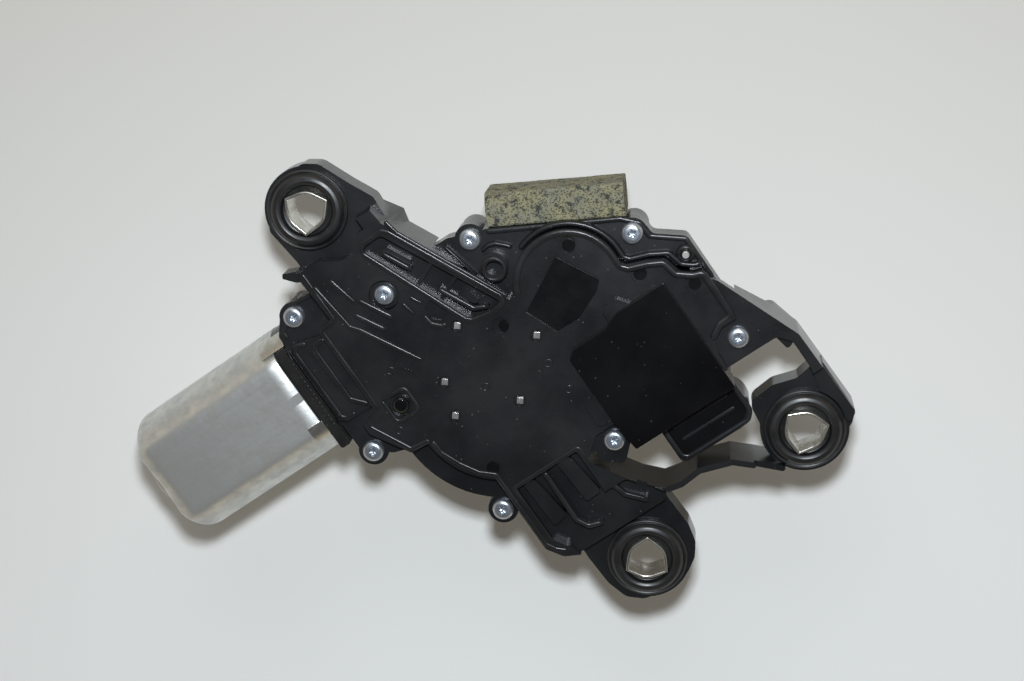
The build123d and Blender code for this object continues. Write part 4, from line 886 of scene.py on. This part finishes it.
@dataclass
class MountingRubber:
    """One eye's rubber ring and its zinc sleeve with three pointed lobes."""

    name: str
    palette: Palette
    bore: float = 6.2
    lobe_tip: float = 7.9
    lobe_half_angle: float = 38.0
    wall: float = 1.1
    height: float = 14.0
    play: float = 0.03
    hole: float = 10.45
    outer: float = 14.85
    round_from: float = 9.2  # the ring follows the sleeve's lobes less and less up to this radius
    steps: int = 180

    def lobed(self, angle: np.ndarray) -> np.ndarray:
        """Radius of the sleeve's bore: a circle, and near each lobe the line from the circle to its tip."""
        half, third = math.radians(self.lobe_half_angle), 2 * np.pi / 3
        turned = np.abs((angle - math.radians(LOBE_TURN[self.name]) + third / 2) % third - third / 2)
        run = (self.bore * math.cos(half) - self.lobe_tip, self.bore * math.sin(half))
        line = self.lobe_tip * run[1] / (np.cos(turned) * run[1] - np.sin(turned) * run[0])
        return np.where(turned < half, line, self.bore)

    def carried(self, profile: np.ndarray, weight: np.ndarray) -> Surface:
        """A closed profile turned round the eye's axis, its radius moved out by the lobes times a weight.

        Args:
            profile: closed loop of (radius, level).
            weight: for each profile point, how far it follows the lobes, from 0 to 1.

        Returns:
            Points and quads.
        """
        lobes = self.lobed(full_turn(self.steps)[None, :]) - self.bore
        radius = profile[:, 0:1] + weight[:, None] * lobes
        return woven(around(radius, profile[:, 1:2], EYES[self.name]), wrap_rows=True, wrap_cols=True)

    def build(self) -> None:
        """The sleeve and the rubber ring, whose table holds radius, level and corner radius."""
        inner, outer, top = self.bore, self.bore + self.wall, self.height
        loop = rounded_path(
            ((inner, 0), (outer, 0), (outer, top), (inner, top)), [0.3, 0.3, 0.35, 0.35], True, 3)
        surface = self.carried(loop, np.ones(len(loop)))
        sleeve = make_piece(self.name + "_sleeve_bright", surface, self.palette["zinc_steel"], "root", 50)
        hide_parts(self.name + "_sleeve")
        seat = outer + self.play
        rim, hole = self.outer, self.hole
        table = ((seat, 1.2, 0.2), (8.6, 0.9, 0.5), (9.3, 2.0, 0.7), (10.4, 0.7, 1.0), (13.6, 0.7, 1.4),
                 (rim, 2.4, 1.0), (rim, 4.2, 0.5), (hole, 4.35, 0.2), (hole, 9.55, 0.2), (14.4, 9.65, 0.3),
                 (rim, 10.0, 0.3), (rim, 11.0, 0.4), (14.2, 11.6, 0.5), (13.6, 11.15, 0.25),
                 (13.3, 12.0, 0.6), (12.4, 13.1, 1.2), (10.8, 13.6, 1.4), (9.5, 12.9, 1.0),
                 (9.0, 11.2, 0.5), (seat + 0.5, 10.9, 0.3), (seat, 10.8, 0.1))
        loop = rounded_path(tuple(row[:2] for row in table), [row[2] for row in table], True, 5)
        weight = np.clip((self.round_from - loop[:, 0]) / (self.round_from - seat), 0, 1)
        surface = self.carried(loop, weight)
        ring = make_piece(self.name + "_grommet_soft", surface, self.palette["rubber"], "root", 60)
        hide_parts(self.name + "_grommet")


@dataclass
class CoverScrews:
    """Pan-head screws with a six-lobed socket."""

    palette: Palette
    head_r: float = 4.0
    head_h: float = 2.6
    shank_r: float = 2.0
    length: float = 13.0
    socket_r: float = 1.45
    socket_wave: float = 0.27
    turn_step: float = 1.3  # radians from one screw to the next
    steps: int = 72

    def screw(self, centre: Point, seat: float, turn: float) -> Surface:
        """One screw from its socket's floor to its tip: rows of radius, level and share of the socket's
        wave, which adds to the radius as cos 6 a."""
        top = seat + self.head_h
        tip = seat - self.length
        socket, head, shank = self.socket_r, self.head_r, self.shank_r
        rows = np.array([
            (0, top - 1.9, 0), (socket * 0.8, top - 1.6, 0.8), (socket * 0.95, top - 1.5, 0.95),
            (socket, top - 0.12, 1), (socket + 0.12, top, 1), (2.2, top, 0.1), (2.9, top - 0.12, 0),
            (3.5, top - 0.5, 0), (3.85, top - 1.1, 0), (head, top - 1.8, 0), (head, seat + 0.15, 0),
            (head - 0.15, seat, 0), (shank, seat, 0), (shank, tip + 1, 0), (1.0, tip, 0), (0, tip, 0)])
        wave = self.socket_wave * np.cos(6 * full_turn(self.steps)[None, :] + turn)
        return woven(around(rows[:, 0:1] + rows[:, 2:3] * wave, rows[:, 1:2], centre), wrap_cols=True)

    def build(self) -> None:
        """All eight as one piece."""
        seats = [(c, FLANGE_TOP) for c in FLANGE_SCREWS] + [(c, RAISED_SEAT) for c in SEAT_SCREWS]
        parts = [self.screw(centre, seat, self.turn_step * number)
                 for number, (centre, seat) in enumerate(seats)]
        piece = make_piece("cover_screws_torx", joined(parts), self.palette["zinc_screw"], "root", 38)
        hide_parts("cover_screws")


@dataclass
class MotorCan:
    """Drawn steel pole can: a round section cut by two flats, a rounded end and a bearing boss."""

    palette: Palette
    radius: float = 25.0
    flat: float = 19.5
    wall: float = 1.6
    open_x: float = -106.5
    end_x: float = -174.5
    boss_x: float = -179.0
    boss_r: float = 9.0
    end_r: float = 7.0
    crispness: float = 36.0
    steps: int = 240

    def section(self) -> np.ndarray:
        """Section radius by angle: the lesser of circle and flat, as a power mean of order -crispness."""
        flat = self.flat / np.maximum(np.abs(np.sin(full_turn(self.steps)[None, :])), 1e-3)
        return (1 + (flat / self.radius) ** -self.crispness) ** (-1 / self.crispness) * self.radius

    def carried(self, rows: object) -> np.ndarray:
        """Rows of (x, share of the section, plain radius) carried round the armature's axis."""
        table = np.array(rows)
        radius = self.section() * table[:, 1:2] + table[:, 2:3]
        return np.roll(around(radius, table[:, 0:1], (AXIS_Y, AXIS_Z)), 1, axis=-1)

    def build(self) -> None:
        """Rows from the mouth, over the end and its boss, and back inside."""
        rim, lip = self.end_r, self.open_x - 0.25
        rows = [(self.open_x, 1.0, -0.3), (lip, 1.0, 0.0), (-112.0, 1.0, 0.0), (-140.0, 1.0, 0.0),
                (self.end_x + rim, 1.0, 0.0)]
        rows += [(self.end_x + rim * (1 - math.sin(t)), 1.0, -rim * (1 - math.cos(t)))
                 for t in np.linspace(0, np.pi / 2, 10)[1:]]
        inner = np.array(rows)[::-1].copy()
        inner[:, 0] += self.wall
        inner[:, 2] -= self.wall
        inner[-1, [0, 2]] = self.open_x, 0.3 - self.wall
        inner[-2, 0] = lip
        end, boss, boss_r, wall = self.end_x, self.boss_x, self.boss_r, self.wall
        plain = [(end, 10.6), (end - 0.3, 9.6), (end - 1.2, boss_r), (boss + 2.4, boss_r),
                 (boss + 0.8, boss_r - 0.7), (boss, boss_r - 2.4), (boss, 3.2), (boss + 0.5, 2.7),
                 (boss + 0.5, 0.0), (boss + wall, 0.0), (boss + wall, boss_r - 3.2),
                 (boss + wall + 1.0, boss_r - wall), (end + wall, boss_r - wall)]
        points = self.carried(np.concatenate([rows, np.insert(plain, 1, 0.0, axis=1), inner]))
        surface = woven(points, wrap_rows=True, wrap_cols=True)
        can = make_piece("motor_can_drawn", surface, self.palette["galvanised_steel"], "root", 50)
        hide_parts("motor_can")


@dataclass
class FoamPad:
    """Foam block stuck to the housing's long straight side."""

    palette: Palette
    corner: Point = (-13.7, 32.4)
    along: Point = (40.5, -22.6)  # direction of the side
    length: float = 50.0
    depth: float = 12.4
    low: float = -9.0
    high: float = 13.0
    skin: Triple = (0.25, 0.235, 0.14)
    grey_skin: Triple = (0.19, 0.19, 0.15)
    flake: Triple = (0.022, 0.027, 0.034)
    # painted shade: the darker colour inside the pores' dents
    pore_shade: Triple = (0.12, 0.112, 0.07)
    flake_scale: float = 300.0
    flake_edge: Point = (0.53, 0.59)
    pore_scale: float = 1400.0
    pore_edge: Point = (0.1, 0.5)
    bumps: tuple[tuple, ...] = ((0.28, 9.0, 5, 4), (0.12, 1.6, 11, 2))  # height, size, seed, octaves
    sunk: float = 0.15
    corner_from: float = 0.8  # how near to a corner its drawing in begins
    corner_drawn: float = 0.035
    section_points: int = 140
    rows: int = 150

    def material(self) -> bpy.types.Material:
        """Open foam: a yellow grey skin with charcoal flakes, pores dented by a rough bump, and painted
        shade that darkens the pores.
        """
        made, shader, n = new_material("speckled_foam")
        place = n.place()
        mottle = n.group(self.palette.effects.mottle, {
            "Vector": place, "First": self.skin, "Second": self.grey_skin, "Scale": 140.0,
            "Smoothest": 0.85, "Roughest": 1.0})
        dark = n.range(n.noise(place, self.flake_scale, 5.0, 0.8), *self.flake_edge, 0.0, 0.92)
        # one mask both dents the pores and darkens them with painted shade
        hole = n.range(n.cells(place, self.pore_scale), *self.pore_edge)
        bump = n.add("ShaderNodeBump", {"Strength": 0.8, "Distance": 0.6 * MM, "Height": hole})
        n.feed(shader, {"Base Color": n.mix(hole, self.pore_shade, n.mix(dark, mottle["Color"], self.flake)),
                        "Roughness": mottle["Roughness"], "Normal": bump.outputs["Normal"],
                        "Specular IOR Level": 0.2})
        return made

    def section(self) -> np.ndarray:
        """The cut across the block about its middle: a rectangle whose corners are drawn in a little."""
        height = self.high - self.low
        sides = np.array([(0, 0), (self.depth, 0), (self.depth, height), (0, height), (0, 0)])
        lengths = np.linspace(0, 1, self.section_points, endpoint=False) * run_along(sides)[-1]
        middle = np.array([self.depth / 2, height / 2])
        section = points_at(sides, lengths) - middle
        section = section / np.max(np.abs(section) / middle, axis=1)[:, None]
        corner = np.min(np.abs(section) / middle, axis=1)
        near = np.clip((corner - self.corner_from) / (1 - self.corner_from), 0, 1)
        return section * (1 - self.corner_drawn * near ** 2)[:, None]

    def build(self) -> None:
        """Sections along the length, shrunk to a point on each end's face, pushed out by a soft noise."""
        section = self.section()
        middle = np.array([self.depth, self.high - self.low]) / 2
        caps = 1 - np.linspace(0, 1, 9)[1:] ** 1.5
        share = np.concatenate([caps[::-1], [0.97, 0.995], np.ones(self.rows), [0.995, 0.97], caps])
        along = np.concatenate([
            np.zeros(len(caps)), [0.0, 0.25], np.linspace(0.6, self.length - 0.6, self.rows),
            [self.length - 0.25, self.length], np.full(len(caps), self.length)])
        grid = np.zeros((len(share), len(section), 3))
        grid[..., 0] = along[:, None]
        grid[..., 1:] = section[None] * share[:, None, None] + middle
        bump = sum(height * smooth_noise(grid, *kind) for height, *kind in self.bumps) - self.sunk
        half = np.array([self.length / 2, *middle])
        from_middle = grid - half
        push = from_middle / np.maximum(np.linalg.norm(from_middle, axis=-1, keepdims=True), 1e-6)
        near_face = np.abs(from_middle / half).max(-1) ** 8
        grid += push * bump[..., None] * near_face[..., None]
        turn = math.atan2(self.along[1], self.along[0])
        x = self.corner[0] + grid[..., 0] * math.cos(turn) - grid[..., 1] * math.sin(turn)
        y = self.corner[1] + grid[..., 0] * math.sin(turn) + grid[..., 1] * math.cos(turn)
        surface = woven(np.stack([x, y, grid[..., 2] + self.low], -1), wrap_cols=True)
        pad = make_piece("foam_pad_block", surface, self.material(), "root", 80)
        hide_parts("foam_pad")


@dataclass
class OutputSpindle:
    """Spindle with a knurled cone and a thread."""

    palette: Palette
    top: float = 10.4
    tip: float = -55.0
    thread_length: float = 10.0
    thread_depth: float = 0.6
    thread_rows: int = 112
    pitch: float = 1.25
    chamfer: float = 0.8
    cone_length: float = 8.0
    cone_rows: int = 24
    knurl_depth: float = 0.25
    knurls: int = 24
    steps: int = 120

    def build(self) -> None:
        """Radius by level, from knots of level and radius, less the thread's depth times a triangle wave
        of level / pitch + turn, and on the cone less the knurl's depth times |sin (knurls a)|."""
        low, start = self.tip + self.chamfer, self.tip + self.thread_length
        cone = (start + self.chamfer, start + self.cone_length)
        knots = np.array([
            (self.tip, 0.0), (self.tip + 0.01, 3.2), (low, 4.0), (start, 4.0), (cone[0], 4.3),
            (cone[1], 5.0), (7.09, 5.0), (7.1, 4.0), (9.3, 4.0), (9.31, 3.4), (9.99, 3.4), (10.0, 4.0),
            (10.1, 4.0), (self.top, 3.7)])
        levels = np.concatenate([knots[:2, 0], np.linspace(low, start, self.thread_rows),
                                 np.linspace(*cone, self.cone_rows), knots[6:, 0]])
        angle = full_turn(self.steps)[None, :]
        z = levels[:, None]
        phase = (z / self.pitch + angle / (2 * np.pi)) % 1
        on_thread = (np.clip((z - self.tip) / self.chamfer, 0, 1)
                     * np.clip((start - z) / self.chamfer, 0, 1))
        on_cone = ((z > cone[0] + 0.1) & (z < cone[1] - 0.4)).astype(float)
        radius = (np.interp(levels, *knots.T)[:, None]
                  - self.thread_depth * on_thread * np.abs(2 * phase - 1)
                  - self.knurl_depth * on_cone * np.abs(np.sin(self.knurls * angle)))
        points = around(radius, z, (0.0, 0.0))
        cap = points[-1:].copy()
        cap[..., :2] = 0
        surface = woven(np.concatenate([points, cap]), wrap_cols=True)
        piece = make_piece("output_spindle_cut", surface, self.palette["bright_steel"], "spindle", 40)
        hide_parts("output_spindle")


@dataclass
class PlainNodes:
    """CAD nodes that keep their shape and get a finish."""

    palette: Palette

    NODES = {
        "bright_steel": ("armature_shaft", "armature_core", "wheel_axle", "crank_pin", "toothed_link",
                         "link_pin", "output_pinion", "retaining_ring"),
        "bronze": ("rear_bearing", "front_bearing", "contact_disc", "upper_bush", "lower_bush",
                   "park_contacts"),
        "gear_plastic": ("thrust_pad", "worm_wheel", "thrust_washer"),
        "zinc_steel": ("brush_springs", "guide_lever", "capacitor"),
        "copper": ("armature_windings", "commutator"),
        "ferrite": ("field_magnets", "suppression_coils"),
        "rubber": ("cover_gasket", "spindle_seal"),
        "carbon": ("carbon_brushes",),
        "board": ("circuit_board",),
        "smooth_plastic": ("relay",),
        "tin_steel": ("connector_terminals",),
    }

    def build(self) -> None:
        """Gives each node its finish."""
        for finish, nodes in self.NODES.items():
            for node in nodes:
                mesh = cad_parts[node].data
                mesh.materials.clear()
                mesh.materials.append(self.palette[finish])
                log.info("%s: %s", node, finish)


# ------------------------------------------------------------------ studio

@dataclass(frozen=True)
class Lamp:
    """A square area lamp that looks at the object's middle; its place is in metres."""

    name: str
    place: Triple
    size: float
    power: float
    colour: Triple
    diffuse: float = 1.0

    TARGET = (-0.05, -0.01, 0.0)

    def build(self) -> None:
        """The lamp."""
        light = bpy.data.lights.new(self.name, "AREA")
        light.size = self.size
        light.energy = self.power
        light.color = self.colour
        light.diffuse_factor = self.diffuse
        thing = placed(self.name, light)
        thing.location = self.place
        look = Vector(self.TARGET) - Vector(self.place)
        thing.rotation_euler = look.to_track_quat("-Z", "Y").to_euler()


@dataclass
class Studio:
    """Pale floor, soft light and the camera, in metres."""

    eye: Triple = (0.1232, 0.0959, 0.7271)
    right: Triple = (0.8151, -0.5707, -0.0999)
    up: Triple = (0.5351, 0.8076, -0.2480)
    forward: Triple = (-0.2222, -0.1487, -0.9636)
    lens: float = 66.8
    floor_half: float = 1.5
    floor_level: float = -0.005
    floor_colour: Triple = (0.97, 0.985, 0.97)
    # painted shade: the floor's colour at its darker, warmer side, in place of uneven light
    floor_painted_shade: Triple = (0.43, 0.395, 0.34)
    painted_shade_fade: Point = (-0.2, 0.25)
    mottle_shade: float = 0.97
    mottle_scale: float = 9.0
    horizon: Point = (0.25, 0.72)
    horizon_colour: Triple = (0.95, 0.84, 0.66)
    zenith_colour: Triple = (0.09, 0.092, 0.1)
    world_strength: float = 0.64

    KEY = Lamp("key", (0.169, 0.165, 0.706), 0.05, 4.4, (0.93, 1.0, 1.07))
    WINDOW = Lamp("window", (0.42, 0.9, 0.68), 0.8, 2.8, (0.97, 0.98, 1.0), 0.15)

    def build(self) -> None:
        """Sets up the stage: the key lamp is small and near the camera, and the window broad and dim."""
        self.add_floor()
        self.KEY.build()
        self.WINDOW.build()
        self.add_world()
        self.add_camera()

    def add_floor(self) -> None:
        """A wide plane under the object with a faint paper mottle and a painted shade: darker and warmer
        towards one side, standing in for uneven light.
        """
        corners = np.array([(-1, -1), (1, -1), (1, 1), (-1, 1)]) * self.floor_half
        mesh = bpy.data.meshes.new("floor")
        mesh.from_pydata(np.column_stack([corners, np.full(4, self.floor_level)]), [], [(0, 1, 2, 3)])
        floor = placed("floor", mesh)
        made, shader, n = new_material("pale_floor")
        place = n.place()
        shade = tuple(self.mottle_shade * c for c in self.floor_colour)
        mottled = n.mix(n.noise(place, self.mottle_scale), self.floor_colour, shade)
        parts = n.parts(place)
        uphill = n.maths("ADD", n.times(parts["X"], self.up[0]), n.times(parts["Y"], self.up[1]))
        # painted shade: the floor is mixed towards the darker, warmer colour along the up direction
        n.feed(shader, {"Base Color": n.mix(n.range(uphill, *self.painted_shade_fade), mottled, self.floor_painted_shade),
                        "Roughness": 0.9, "Specular IOR Level": 0.1})
        mesh.materials.append(made)

    def add_world(self) -> None:
        """A warm world, bright near the horizon and dim overhead."""
        world = bpy.data.worlds.new("studio")
        bpy.context.scene.world = world
        world.use_nodes = True
        n = Nodes(world.node_tree)
        height = n.parts(n.add("ShaderNodeTexCoord").outputs["Generated"])["Z"]
        colour = n.mix(n.range(height, *self.horizon), self.horizon_colour, self.zenith_colour)
        n.feed(world.node_tree.nodes["Background"], {"Color": colour, "Strength": self.world_strength})

    def add_camera(self) -> None:
        """The camera, from its place and its three directions."""
        data = bpy.data.cameras.new("camera")
        data.sensor_width = 36.0
        data.lens = self.lens
        data.clip_start = 0.01
        camera = placed("camera", data)
        axes = Matrix((self.right, self.up, tuple(-c for c in self.forward))).transposed()
        camera.matrix_world = Matrix.Translation(self.eye) @ axes.to_4x4()
        bpy.context.scene.camera = camera


def main() -> None:
    """Builds every piece in order."""
    logging.basicConfig(level=logging.INFO, format="%(message)s")
    bpy.context.scene.view_settings.view_transform = "Standard"
    palette = Palette(Effects())
    palette.build()
    PlainNodes(palette).build()
    FinishedCopies(palette, FinishedCopies.HOUSINGS).build()
    MotorCan(palette).build()
    for name in EYES:
        MountingRubber(name, palette).build()
    CoverRelief(palette).build()
    CoverScrews(palette).build()
    FinishedCopies(palette, FinishedCopies.SMALL_PARTS).build()
    FoamPad(palette).build()
    OutputSpindle(palette).build()
    Studio().build()


if __name__ == "__main__":
    main()
